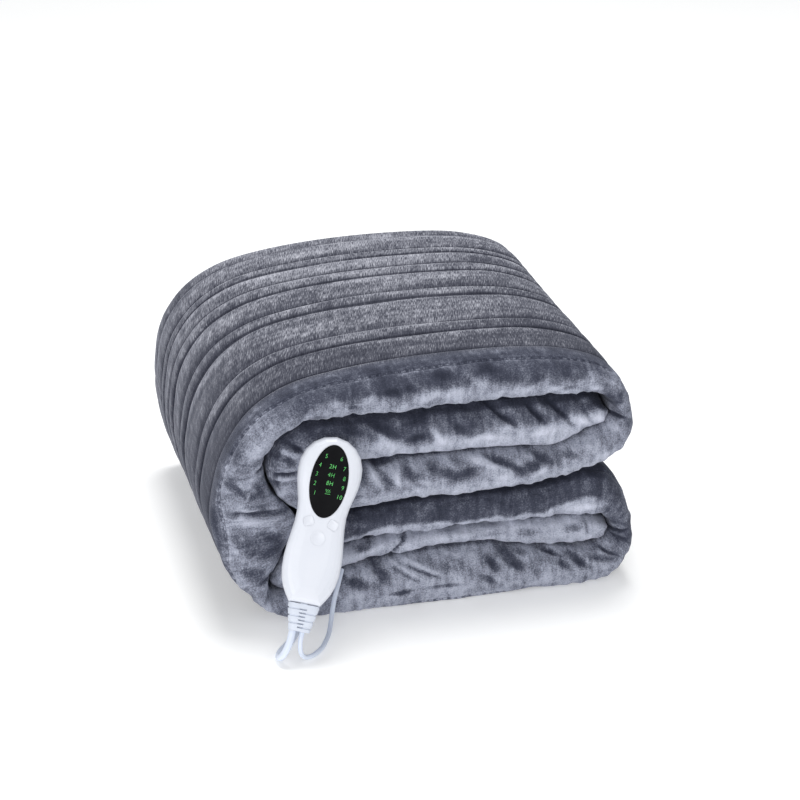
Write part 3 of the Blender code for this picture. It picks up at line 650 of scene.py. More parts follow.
def make_relief(finish):
    """Flexible boot with a plain collar, cut by slots from the left and the right in turn."""
    half_x, half_y = RELIEF_TOP
    tall = RELIEF_LENGTH
    bpy.ops.mesh.primitive_cube_add(size=2, location=(0, 0, -CLEAR - (tall - CLEAR) / 2),
                                    scale=(half_x, half_y, (tall - CLEAR) / 2))
    relief = open_for_editing("relief_boot")
    pick_edges(relief, lambda one, other: abs(one.z - other.z) > tall / 2)
    bpy.ops.mesh.bevel(offset=half_y * 0.9, segments=6, affect="EDGES")
    slots = [-RELIEF_COLLAR - SLOT_PITCH * (k + 0.5) for k in range(SLOT_COUNT)]
    levels = [place + side * SLOT_TALL / 2 for place in slots for side in (-1, 1)]
    cut_across(levels + [-RELIEF_COLLAR + COLLAR_EDGE], (0, 0, 1))
    cut_across([-SLOT_PAST_MIDDLE, SLOT_PAST_MIDDLE], (1, 0, 0))

    # Taper: each level is drawn in towards the free end.
    form = bmesh.from_edit_mesh(relief.data)
    for level in sorted({round(vert.co.z, 6) for vert in form.verts}):
        share = min(1.0, max(0.0, (-level - RELIEF_COLLAR) / (tall - RELIEF_COLLAR)))
        narrow = (1 - share * (1 - RELIEF_END[0] / half_x), 1 - share * (1 - RELIEF_END[1] / half_y), 1)
        scale_section(relief, 2, level, narrow)

    for k, place in enumerate(slots):
        side = -1 if k % 2 == 0 else 1
        pick_faces(relief, lambda middle, normal: abs(middle.z - place) < SLOT_TALL / 2
                   and middle.x * side > -SLOT_PAST_MIDDLE * 0.9 and abs(normal.z) < 0.5)
        bpy.ops.mesh.extrude_region_shrink_fatten(TRANSFORM_OT_shrink_fatten={"value": -SLOT_DEEP})
        pick_faces(relief, lambda middle, normal: abs(middle.z - place) < SLOT_TALL * 0.4
                   and abs(middle.x) < SLOT_PAST_MIDDLE and abs(normal.y) > 0.9)
        bpy.ops.mesh.extrude_region_shrink_fatten(TRANSFORM_OT_shrink_fatten={"value": -SLOT_DEEPER})
    pick_faces(relief, lambda middle, normal: normal.z < -0.9 and middle.z < -tall + 0.1 * MM)
    bpy.ops.mesh.inset(thickness=0.8 * MM)
    close_editing(relief)
    add_bevel(relief, 0.25 * MM, segments=2, angle=45)
    seat_piece(relief, HANDSET_SEAT, "root", "lead_jacket", finish, "strain_relief")


# ---- Display ---------------------------------------------------------------------
MARK_LIFT = 0.22 * MM                # marks stand this far in front of the window's rim
MARK_THICK = 0.08 * MM
MARK_SIZE = 5.3 * MM
MARK_NARROW = 0.86
MARK_THINNER = -0.085 * MM           # taken off each side of a stroke
SIGN_LINE = 0.32 * MM
LEVELS_AROUND = (11.7 * MM, 24.0 * MM)      # half axes of the oval on which the ten levels lie
ROW_PITCH = 8.0 * MM
TOP_ROW = 124.8 * MM
TIMES_X = 0.7 * MM
FIRST_TIME = 117.0 * MM
TIME_PITCH = 7.1 * MM
SIGN_ROW = 95.7 * MM


def as_mesh(data):
    """A text or a curve as a mesh object."""
    mark = put_in_scene("mark", data)
    pick_alone(mark)
    bpy.ops.object.convert(target="MESH")
    return mark


def mark_text(words, x, z):
    """One number as a thin flat mesh, in the controller's own frame."""
    data = bpy.data.curves.new("mark", "FONT")
    data.body = words
    data.size = MARK_SIZE
    data.align_x = "CENTER"
    data.align_y = "CENTER"
    data.space_character = 1.15
    data.shear = 0.12
    data.offset = MARK_THINNER
    data.extrude = MARK_THICK / 2
    mark = as_mesh(data)
    mark.data.transform(Matrix.Translation((x, -WINDOW_TOP - MARK_LIFT, z))
                        @ Matrix.Rotation(FACING, 4, "X") @ Matrix.Diagonal((MARK_NARROW, 1, 1, 1)))
    return mark


def heat_sign(x, z):
    """The sign for heat: three rising waves over a bar."""
    data = bpy.data.curves.new("mark", "CURVE")
    data.dimensions = "3D"
    data.bevel_depth = SIGN_LINE / 2
    data.bevel_resolution = 1
    waves = [[(offset + 0.38 * math.sin(k / 8 * 2 * math.pi), k / 8 * 3.0 - 0.9) for k in range(9)]
             for offset in (-1.5, 0.0, 1.5)]
    bar = [(-2.3, -1.9), (2.3, -1.9)]
    for stroke in waves + [bar]:
        line = data.splines.new("POLY")
        line.points.add(len(stroke) - 1)
        for point, (across, up) in zip(line.points, stroke):
            point.co = (x + across * MM, -WINDOW_TOP - MARK_LIFT, z + up * MM, 1)
    return as_mesh(data)


def make_display():
    """Ten heat levels round the window, three times and the heat sign in its middle."""
    marks = []
    half_x, half_z = LEVELS_AROUND
    for row in range(5):
        z = TOP_ROW - row * ROW_PITCH
        x = half_x * math.sqrt(max(0.0, 1 - ((z - WINDOW_MIDDLE) / half_z) ** 2))
        marks.append(mark_text(str(5 - row), -x, z))
        marks.append(mark_text(str(6 + row), x + 0.6 * MM, z))
    for row, hours in enumerate(("2H", "4H", "8H")):
        marks.append(mark_text(hours, TIMES_X, FIRST_TIME - row * TIME_PITCH))
    marks.append(heat_sign(TIMES_X, SIGN_ROW))
    bpy.ops.object.select_all(action="DESELECT")
    for mark in marks:
        mark.select_set(True)
    bpy.context.view_layer.objects.active = marks[0]
    bpy.ops.object.join()
    display = bpy.context.object
    display.name = "display_marks"
    seat_piece(display, HANDSET_SEAT, "root", None, lit_finish())


# ---- Plug and tie -----------------------------------------------------------------
PLUG_SEAT = Matrix.Translation((0.0316, 0.2839, 0.0080)) @ Matrix.Rotation(math.radians(5), 4, "Z")
PLUG_LENGTH = 34 * MM
PLUG_HALF = (11.5 * MM, 8.0 * MM)
DISH_RIM = 2.2 * MM
DISH_DEEP = 0.5 * MM
#    share of its length, half width and half height as shares of PLUG_HALF
PLUG_SECTIONS = (
    (0.00, 0.42, 0.46),
    (0.14, 0.45, 0.49),
    (0.30, 0.50, 0.55),
    (0.38, 0.66, 0.72),
    (0.46, 0.87, 0.91),
    (0.62, 1.00, 1.00),
    (0.94, 1.00, 1.00),
    (1.00, 0.95, 0.95),
)


def make_plug(finish):
    """Moulded two-pin plug body: narrow neck widening to the body, finger dishes and a flat front."""
    half_y, half_z = PLUG_HALF
    bpy.ops.mesh.primitive_cube_add(size=2, location=(PLUG_LENGTH / 2, 0, 0),
                                    scale=(PLUG_LENGTH / 2, half_y, half_z))
    plug = open_for_editing("plug_moulding")
    pick_edges(plug, lambda one, other: abs(one.x - other.x) > PLUG_LENGTH / 2)
    bpy.ops.mesh.bevel(offset=half_z * 0.75, segments=7, affect="EDGES")
    cut_across([share * PLUG_LENGTH for share, _, _ in PLUG_SECTIONS[1:-1]], (1, 0, 0))
    for share, wide, tall in PLUG_SECTIONS:
        scale_section(plug, 0, share * PLUG_LENGTH, (1, wide, tall))
    # Shallow finger dishes on the upper and lower face.
    for side in (1, -1):
        pick_faces(plug, lambda middle, normal: normal.z * side > 0.95
                   and 0.64 * PLUG_LENGTH < middle.x < 0.92 * PLUG_LENGTH)
        bpy.ops.mesh.inset(thickness=DISH_RIM)
        bpy.ops.transform.translate(value=(0, 0, -DISH_DEEP * side))
    close_editing(plug)
    add_bevel(plug, 0.6 * MM, segments=3, angle=30)
    seat_piece(plug, PLUG_SEAT, "root", "plug_plastic", finish, "plug_body")


# ---- Blanket: the strip and its sections -----------------------------------------
FRONT_Y = -0.150
BACK_Y = 0.207
SPINE_SQUEEZE = 0.052
SPINE_BULGE = (98 * MM, 62 * MM)
PLY_GAP = 0.5 * MM
ROUND_UP = 28 * MM
ROUND_SIDE = 18 * MM
ROUND_DOWN = 9 * MM
BACK_ROUND = 6 * MM
HEM_STEP = 7 * MM
STATION_TURN = math.radians(2.5)
STATION_LENGTH = 2.6 * MM
STATION_PASSES = 11           # times that each section is drawn towards its neighbours
# Part of the strip whose outer face isn't covered by another layer, as distances along it.
SHOWN_OUTSIDE = (0.545, 1.545)
TIP_LENGTH = 7 * MM           # over which each end of the strip rounds off
TIP_SHARES = (0.02, 0.12, 0.3, 0.55)    # where its sections are, as shares of that length
TIP_SETBACK = 6 * MM

#    outer x, outer z, inner x, inner z, setback, in millimetres
STRIP_SECTIONS = (
    (161.0, 171.5, 160.5, 153.5, 9),
    (146.0, 182.5, 146.0, 149.0, 7),
    (112.0, 185.5, 112.0, 139.2, 6),
    (50.0, 187.0, 50.0, 141.5, 5),
    (-20.0, 185.6, -20.0, 143.0, 4),
    (-80.0, 185.7, -78.0, 144.3, 3),
    (-108.0, 184.0, -91.0, 144.2, 3),
    (-130.0, 169.0, -95.0, 143.6, 4),
    (-140.5, 148.0, -96.0, 142.9, 5),
    (-133.0, 119.5, -94.5, 142.1, 5),
    (-113.0, 101.5, -88.0, 141.8, 4),
    (-75.0, 98.5, -68.0, 142.2, 3),
    (-20.0, 102.3, -20.0, 141.6, 2),
    (50.0, 101.8, 50.0, 139.8, 2),
    (108.0, 105.0, 106.0, 136.2, 2),
    (146.0, 112.6, 144.0, 146.0, 2),
    (168.0, 119.5, 160.5, 151.8, 1),
    (182.5, 135.0, 165.3, 159.0, 0),
    (186.5, 156.0, 166.0, 167.0, 0),
    (180.0, 184.5, 162.5, 177.0, 0),
    (160.0, 203.5, 152.0, 183.5, 0),
    (115.0, 217.5, 112.0, 186.8, 0),
    (50.0, 222.0, 50.0, 188.0, 0),
    (-20.0, 220.8, -20.0, 186.8, 0),
    (-80.0, 214.0, -80.0, 186.8, 0),
    (-120.0, 203.0, -112.0, 184.8, 0),
    (-152.0, 182.0, -134.0, 168.5, 0),
    (-175.0, 148.0, -142.8, 147.0, 0),
    (-184.0, 122.0, -138.8, 122.0, 1),
    (-189.5, 98.0, -123.0, 100.5, 3),
    (-184.5, 76.0, -126.0, 86.0, 1),
    (-174.5, 47.0, -137.0, 60.0, 0),
    (-155.5, 20.0, -144.5, 39.0, 0),
    (-133.0, 4.5, -139.0, 26.5, 0),
    (-108.0, 0.0, -112.0, 27.0, 0),
    (-86.0, 0.0, -89.0, 35.0, 0),
    (-60.0, 0.0, -62.0, 43.6, 0),
    (-15.0, 0.0, -15.0, 47.6, 0),
    (45.0, 0.0, 45.0, 49.2, 0),
    (105.0, 0.0, 105.0, 38.9, 0),
    (150.0, 0.0, 146.0, 35.5, 0),
    (173.0, 6.5, 161.0, 38.0, 0),
    (186.5, 25.0, 168.0, 45.0, 0),
    (189.5, 48.0, 170.0, 52.0, 0),
    (184.0, 77.0, 166.0, 61.0, 1),
    (167.0, 105.0, 154.0, 66.8, 2),
    (140.0, 110.2, 136.0, 68.6, 3),
    (95.0, 101.8, 92.0, 68.7, 3),
    (20.0, 100.6, 20.0, 69.8, 3),
    (-45.0, 99.2, -48.0, 68.8, 4),
    (-84.0, 91.0, -78.0, 64.8, 6),
    (-108.0, 71.0, -91.0, 59.6, 7),
    (-130.0, 47.5, -97.0, 55.6, 8),
    (-138.0, 34.5, -98.5, 52.6, 8),
    (-125.0, 26.8, -95.5, 53.2, 8),
    (-99.0, 33.4, -86.0, 59.0, 8),
    (-78.0, 40.4, -72.0, 63.4, 8),
    (-48.0, 47.2, -46.0, 67.0, 8),
    (-15.0, 49.4, -15.0, 68.3, 8),
    (45.0, 50.6, 45.0, 68.3, 8),
    (105.0, 40.5, 105.0, 67.4, 8),
    (146.0, 37.2, 144.0, 66.4, 8),
    (164.0, 43.0, 163.5, 58.5, 9),
)

# Sewn channels: distance from the front fold round the outer face, depth of the
# stitch line and how far it wanders, in millimetres.
#    distance, depth, wander
STITCH_LINES = (
    (24.0, 1.0, 1.0),
    (51.0, 2.5, 0.9),
    (97.0, 2.3, 1.1),
    (120.0, 2.6, 0.9),
    (183.0, 2.6, 1.1),
    (203.0, 2.4, 0.9),
    (246.0, 2.6, 1.1),
    (267.0, 2.4, 0.9),
    (296.0, 2.4, 1.1),
    (310.0, 2.3, 0.9),
    (344.0, 1.4, 0.6),
)
CHANNEL_CROWN = 1.1 * MM
PRESSED_FLAT = 0.7            # share of their height that covered channels lose
OUTER_REACH = 359 * MM        # from the front fold round the outer face to the hem
INNER_REACH = 350 * MM        # and round the inner face to the back fold
UNSTRETCHED = 60 * MM         # the front up to here keeps its true distances in every section


# Layers of the strip as it is folded, by the distance along it at which each ends:
# second from the top, third, top, bottom, fourth and fifth.
SECOND, THIRD, TOP, BOTTOM, FOURTH, FIFTH = range(6)
LAYER_ENDS = (0.325, 0.620, 1.075, 1.460, 1.800)

# Creases and crushed patches of the front, as seen from the front, in millimetres. Turn is
# the slope of the long side in degrees; lift raises the cloth and lighter lifts its tone, as painted
# shade in the troughs, painted light on the ridges and a darker or lighter crushed pile.
#    for each layer: x, z, half length, half width, turn, lift, lighter
CREASES = {
    SECOND: (
        (-67, 174, 9, 4, -20, -0.5, -0.25),
        (-41, 173, 10, 4, -25, -1.0, -0.30),
        (-9, 177, 10, 4, 5, 0.0, -0.20),
        (-11, 161, 9, 3, 10, -0.5, -0.30),
        (30, 163, 10, 4, -45, -1.0, -0.30),
        (43, 158, 6, 3, 20, -0.5, -0.25),
        (-38, 162, 10, 3, -40, 0.5, 0.20),
        (5, 164, 8, 3, -50, 1.0, 0.25),
        (14, 155, 9, 4, -45, 1.0, 0.20),
        (57, 154, 9, 3, -10, 1.0, 0.20),
        (101, 152, 9, 3, 10, 0.5, 0.20),
        (66, 172, 18, 2, -40, -3.0, -0.40),
        (75, 175, 11, 3, -35, 1.0, 0.10),
        (97, 170, 13, 2, -50, -3.0, -0.40),
        (103, 174, 9, 3, -45, 1.0, 0.20),
        (116, 173, 9, 2, -50, -3.0, -0.40),
        (126, 161, 10, 2, -55, -1.5, -0.30),
        (138, 161, 7, 3, -50, 1.0, 0.20),
        (155, 171, 7, 3, -35, -0.5, -0.30),
        (153, 157, 9, 3, -40, 0.5, 0.20),
        (143, 163, 9, 1, -65, -1.0, -0.30),
        (-116, 163, 8, 2, -35, -2.5, -0.35),
        (-120, 158, 8, 3, -20, 1.5, 0.20),
        (-121, 151, 6, 3, -30, -1.5, -0.25),
        (-131, 158, 5, 3, 60, -1.0, -0.20),
        (-126, 139, 11, 1.5, 5, -3.0, -0.45),
        (-126, 135, 10, 1.5, 5, 1.5, 0.25),
        (-133, 129, 5, 3, 80, -1.0, -0.30),
        (112, 143, 16, 5, 5, 1.5, 0.0),
        (-127, 121, 7, 3, 60, 1.0, 0.15),
    ),
    THIRD: (
        (-119, 123, 7, 2.5, 60, -2.5, -0.35),
        (-126, 113, 9, 3, -40, 1.0, 0.15),
        (169, 161, 7, 1.5, 0, -2.0, -0.35),
        (169, 152, 5, 4, 0, 0.5, 0.20),
        (14, 126, 14, 5, -20, -1.0, -0.30),
        (34, 122, 12, 5, 20, -1.0, -0.35),
        (54, 129, 19, 3, -20, 1.0, 0.20),
        (68, 128, 16, 3, -25, -1.0, -0.30),
        (90, 122, 13, 5, 15, -1.0, -0.35),
        (102, 129, 10, 3, -30, -1.0, -0.30),
        (128, 129, 7, 3, -5, -0.5, -0.25),
        (70, 116, 8, 3, 15, 0.5, 0.20),
        (100, 116, 8, 3, 25, 0.5, 0.20),
        (-47, 126, 12, 2, -60, 1.0, 0.20),
        (-40, 129, 13, 3, -55, -1.5, -0.30),
        (-29, 126, 10, 2, -70, 1.0, 0.25),
        (-15, 126, 12, 5, -50, -1.0, -0.35),
        (-4, 119, 8, 2, -10, 0.5, 0.15),
        (-59, 128, 8, 4, -60, -0.5, -0.25),
        (-40, 139, 9, 2, 0, -1.0, -0.40),
    ),
    TOP: (
        (-33, 207, 8, 3, -5, -0.5, -0.30),
        (13, 216, 8, 3, -10, 0.0, -0.20),
        (54, 217, 8, 3, -10, 0.0, -0.30),
        (-68, 197, 5, 2, -5, -0.5, -0.25),
        (-17, 209, 7, 3, -5, 0.0, -0.25),
        (-41, 216, 6, 4, -20, 0.0, -0.15),
        (125, 194, 7, 2, 5, -0.5, -0.20),
        (162, 178, 9, 4, -55, -0.5, -0.25),
        (171, 178, 6, 3, 70, 0.0, -0.20),
        (-80, 202, 8, 3, 5, 0.5, 0.20),
        (-54, 203, 8, 3, 20, 1.0, 0.20),
        (0, 200, 8, 4, 25, 1.0, 0.20),
        (21, 200, 8, 3, 10, 0.5, 0.15),
        (41, 210, 7, 3, -35, 0.5, 0.20),
        (87, 198, 8, 3, 25, 1.0, 0.20),
        (111, 195, 6, 3, 5, 0.5, 0.20),
        (149, 191, 6, 3, -5, 0.5, 0.20),
        (-150, 172, 24, 7, 50, 0.5, 0.20),
        (-128, 190, 16, 5, 30, 1.0, 0.20),
        (-165, 164, 14, 4, 60, 0.0, -0.20),
        (-145, 147, 6, 1.5, 15, -2.5, -0.35),
        (-166, 130, 14, 4, -30, -1.0, -0.30),
        (-164, 132, 8, 1.5, -60, 1.0, 0.25),
        (-159, 125, 5, 1.5, 65, 0.5, 0.25),
        (-148, 126, 8, 3, -70, -0.5, -0.25),
        (-157, 110, 10, 2, -15, 1.0, 0.20),
        (-154, 107, 20, 2, -5, -3.0, -0.40),
        (-158, 100, 13, 4, -15, 1.0, 0.20),
        (-150, 71, 19, 8, -25, -1.0, -0.25),
        (-144, 83, 8, 4, -35, -0.5, -0.25),
        (-172, 76, 9, 2, -65, 0.5, 0.15),
    ),
    BOTTOM: (
        (-150, 71, 19, 8, -25, -1.0, -0.25),
        (-158, 50, 12, 6, -45, -0.5, -0.25),
        (-148, 44, 7, 1.5, 25, -2.0, -0.25),
        (-148, 36, 9, 4, -50, 0.5, 0.10),
        (-17, 32, 21, 2, -35, 1.0, 0.20),
        (-5, 36, 19, 2, -25, 1.0, 0.20),
        (-6, 33, 14, 1.5, -25, -1.5, -0.30),
        (-17, 30, 15, 2, -30, -1.0, -0.30),
        (-43, 36, 12, 4, -55, -1.0, -0.30),
        (-64, 29, 11, 4, -15, -0.5, -0.30),
        (-26, 16, 10, 2, 5, -0.5, -0.30),
        (12, 17, 17, 2, 0, -0.5, -0.25),
        (12, 36, 12, 4, -25, -0.5, -0.15),
        (58, 32, 9, 4, -55, -1.0, -0.40),
        (77, 33, 12, 5, -45, -1.0, -0.40),
        (54, 18, 9, 3, -35, -0.5, -0.30),
        (96, 24, 8, 4, -55, -0.5, -0.20),
        (113, 34, 10, 1.5, -20, -2.0, -0.40),
        (85, 38, 7, 2, -20, -1.0, -0.25),
        (138, 25, 12, 3, -35, -1.5, -0.40),
        (123, 24, 7, 3, -40, -0.5, -0.30),
        (160, 25, 12, 3, -10, -0.5, -0.30),
        (166, 30, 8, 1.5, -25, -2.0, -0.40),
    ),
    FOURTH: (
        (141, 77, 13, 3, 0, 1.0, 0.30),
        (143, 71, 14, 5, -5, 1.5, 0.0),
        (-79, 68, 14, 5, 20, 1.5, 0.0),
        (-57, 84, 13, 3, -5, 0.0, 0.15),
        (13, 78, 8, 3, 0, 0.0, 0.15),
        (175, 50, 7, 1.5, 15, -1.5, -0.30),
        (176, 43, 7, 2, -10, -1.5, -0.30),
    ),
    FIFTH: (
        (-56, 60, 10, 4, 20, -0.5, -0.30),
        (61, 58, 11, 3, 5, -0.5, -0.20),
        (94, 56, 15, 4, 0, -0.5, -0.20),
        (133, 55, 7, 4, -5, -0.5, -0.30),
        (145, 53, 8, 1, -85, -1.0, -0.30),
        (-26, 57, 14, 1.5, 50, -2.5, -0.45),
    ),
}

CREASE_STRENGTH = 1.2         # share of its lift that each crease gets

# Where the folds press into one another, the front bulges. Here too all is in millimetres.
#    first layer, last layer, x, z, half length, half width, turn, sideways, forward
BULGES = (
    (TOP, BOTTOM, -136, 80, 42, 16, 70, 11, 1),
    (TOP, TOP, -118, 97, 16, 13, 60, 12, 1),
    (SECOND, THIRD, -106, 106, 16, 12, -35, -5, 2),
    (SECOND, SECOND, 160, 162, 16, 32, 0, 4, 0),
    (FIFTH, FIFTH, 163, 50, 16, 32, 0, 4, 0),
    (FOURTH, FIFTH, -130, 44, 20, 20, 60, -4, 5),
)


def strip_stations():
    """Sections along the strip: outer x, outer z, inner x, inner z and setback, in metres."""
    rows = np.array(STRIP_SECTIONS) * MM
    ends = np.vstack([rows[0] * 2 - rows[1], rows, rows[-1] * 2 - rows[-2]])
    picked = []
    for i in range(len(rows) - 1):
        a, b, c, d = ends[i:i + 4]
        first, last = b[:2] - b[2:4], c[:2] - c[2:4]
        cosine = first @ last / np.linalg.norm(first) / np.linalg.norm(last)
        turn = math.acos(min(1.0, cosine)) / STATION_TURN
        span = max(np.linalg.norm((c - b)[:2]), np.linalg.norm((c - b)[2:4])) / STATION_LENGTH
        count = max(1, round(turn), round(span))
        for k in range(count):
            t = k / count
            picked.append(b * (2 * t ** 3 - 3 * t ** 2 + 1) + (c - a) / 2 * (t ** 3 - 2 * t ** 2 + t)
                          + c * (3 * t ** 2 - 2 * t ** 3) + (d - b) / 2 * (t ** 3 - t ** 2))
    picked.append(rows[-1])
    stations = np.array(picked)
    for _ in range(STATION_PASSES):
        stations[1:-1] = stations[:-2] * 0.25 + stations[1:-1] * 0.5 + stations[2:] * 0.25
    stations[:, 1] = np.maximum(stations[:, 1], 0.0)
    return stations


def round_tips(stations):
    """Adds sections close to each end, where the strip thins to a rounded tip."""
    def tip(end, beside):
        rows = []
        step = np.linalg.norm((end - beside)[:4].reshape(2, 2).mean(axis=0))
        for share in TIP_SHARES:
            gone = share * TIP_LENGTH
            row = end + (beside - end) * gone / step
            middle = (row[:2] + row[2:4]) / 2
            thin = math.sqrt(1 - (1 - share) ** 2)
            row[:2] = middle + (row[:2] - middle) * thin
            row[2:4] = middle + (row[2:4] - middle) * thin
            row[4] += (1 - thin) * TIP_SETBACK
            rows.append(row)
        return rows
    start = tip(stations[0].copy(), stations[2])
    finish = tip(stations[-1].copy(), stations[-3])
    whole = np.vstack([start, stations[2:-2], finish[::-1]])
    return whole if len(whole) % 2 else np.delete(whole, len(whole) // 2, axis=0)


def rounding(up):
    """Depth of the front rounding of a face whose normal rises by this much."""
    if up > 0:
        return ROUND_SIDE + (ROUND_UP - ROUND_SIDE) * up
    return ROUND_SIDE + (ROUND_SIDE - ROUND_DOWN) * up


def quarter_arc(depth, half, count):
    """Quarter ellipse as (distance behind the nose, height above the middle)."""
    angles = np.linspace(0, math.pi / 2, count)
    return np.stack([depth * (1 - np.sin(angles)), half * np.cos(angles)], axis=1)


def main_profile(thick, round_out, round_in, setback):
    """Outer face, front fold, inner face and back fold as (y, height), and the index of the nose."""
    ply = (thick - 3 * PLY_GAP) / 4
    middle = thick / 2
    front = FRONT_Y + setback
    radius = ply + PLY_GAP / 2
    upper = quarter_arc(round_out, middle, 25) + (front, middle)
    lower = quarter_arc(round_in, middle, 25) * (1, -1) + (front, middle)
    bend = np.linspace(-math.pi / 2, math.pi / 2, 17)
    back = np.stack([BACK_Y - radius * (1 - np.cos(bend)), radius * (1 + np.sin(bend))], axis=1)
    hem = np.array([(BACK_Y - BACK_ROUND - 0.4 * ply, thick)])
    return np.vstack([hem, upper, lower[-2::-1], back]), len(hem) + len(upper) - 1


def hidden_profile(thick, round_out, round_in, setback):
    """The rest of the section: the slot of the back fold, both hems and the plies inside."""
    ply = (thick - 3 * PLY_GAP) / 4
    middle = thick / 2
    front = FRONT_Y + setback
    nose = min(ply, 0.6 * round_in, 0.6 * round_out)
    outer_hem = BACK_Y - BACK_ROUND
    inner_hem = outer_hem - HEM_STEP
    hem = 0.4 * ply
    slot_end = front + 2 * nose + 2 * PLY_GAP + 1.5 * MM
    low = 2 * ply + 2 * PLY_GAP

    def arc(shift, half, centre):
        up = quarter_arc(round_out - shift, half, 5) + (front + shift, centre)
        down = quarter_arc(round_in - shift, half, 5) * (1, -1) + (front + shift, centre)
        return [tuple(point) for point in up] + [tuple(point) for point in down[-2::-1]]

    rows = [(slot_end, middle - PLY_GAP / 2), (slot_end, middle + PLY_GAP / 2),
            (inner_hem - 3 * hem, low), (inner_hem - hem, low),
            (inner_hem - 0.2 * hem, low + 0.2 * ply), (inner_hem, low + ply / 2),
            (inner_hem - 0.2 * hem, low + 0.8 * ply), (inner_hem - hem, low + ply)]
    rows += arc(nose + PLY_GAP, middle - ply - PLY_GAP, middle)
    rows += [(BACK_Y - 1.2 * ply, ply + PLY_GAP), (BACK_Y - 1.2 * ply, ply)]
    rows += arc(nose, middle - ply, middle)[::-1]
    rows += [(outer_hem - 3 * hem, thick - ply), (outer_hem - hem, thick - ply),
             (outer_hem - 0.2 * hem, thick - 0.8 * ply), (outer_hem, thick - ply / 2),
             (outer_hem - 0.2 * hem, thick - 0.2 * ply)]
    return np.array(rows)


# Where a section has points, in millimetres: beside each stitch line, on the inner face
# behind the front, and evenly over the front.
ROUND_STITCHES = (-5.8, -3.3, -2.1, -1.0, 0.0, 1.0, 2.2, 5.2)
ON_INNER_FACE = (44, 50, 58, 70, 90, 120, 160, 200, 240, 280, 310, 325, 332, 337, 341, 344, 347)
FRONT_SPACING = 1.7


def round_samples():
    """Distances from the nose at which the section has points, outer side first."""
    known = [distance for distance, _, _ in STITCH_LINES]
    places = {OUTER_REACH / MM, -INNER_REACH / MM}
    for distance in known:
        places.update(distance + offset for offset in ROUND_STITCHES)
    places.update(np.arange(0, 35, FRONT_SPACING))
    places.update(-np.arange(FRONT_SPACING, 40, FRONT_SPACING))
    places.update(-np.array(ON_INNER_FACE))
    for near, far in zip(known, known[1:]):
        places.update(np.linspace(near + 5.5, far - 5.5, max(2, round((far - near) / 8))))
    kept = []
    for place in sorted(places, reverse=True):
        if not kept or kept[-1] - place > 0.8:
            kept.append(place)
    return np.array(kept) * MM


def wobble(distance, seed, scale):
    """Slow noise along the strip, about -1 to 1."""
    return np.array([noise.noise(Vector((value * scale, seed * 7.31, 0.37))) for value in distance]) * 1.6


def pillow(samples, along):
    """Height of the quilting on the outer face, above the plain face."""
    height = np.zeros((len(along), len(samples)))
    lines = [row[0] * MM for row in STITCH_LINES]
    depths = [row[1] * MM * (1 + 0.35 * wobble(along, 11 + i, 18)) for i, row in enumerate(STITCH_LINES)]
    for i in range(len(lines) - 1):
        near, far = lines[i], lines[i + 1]
        inside = (samples >= near) & (samples <= far)
        t = (samples[inside] - near) / (far - near)
        full = np.sqrt(np.maximum(0.0, 1 - np.abs(2 * t - 1) ** 4.5))
        crown = CHANNEL_CROWN * (1 + 0.5 * wobble(along, 31 + i, 12))[:, None]
        floor = -(depths[i][:, None] * (1 - t) + depths[i + 1][:, None] * t)
        height[:, inside] = floor + (crown - floor) * full
    for edge, sign in ((0, -1), (len(lines) - 1, 1)):
        beyond = (samples - lines[edge]) * sign
        outside = (beyond > 0) & (beyond < 25 * MM)
        height[:, outside] = -depths[edge][:, None] * np.exp(-beyond[outside] / (2.2 * MM))
    return height


def smoothstep(low, high, value):
    t = np.clip((value - low) / (high - low), 0.0, 1.0)
    return t * t * (3 - 2 * t)


def surface_noise(points, scale, seed, octaves=3):
    """Noise at points in space, about -1 to 1."""
    shift = Vector((seed * 3.17, seed * 1.71, seed * 0.93))
    flat = points.reshape(-1, 3)
    made = np.array([noise.fractal(Vector(point) * scale + shift, 0.9, 2.1, octaves) for point in flat])
    return made.reshape(points.shape[:-1])


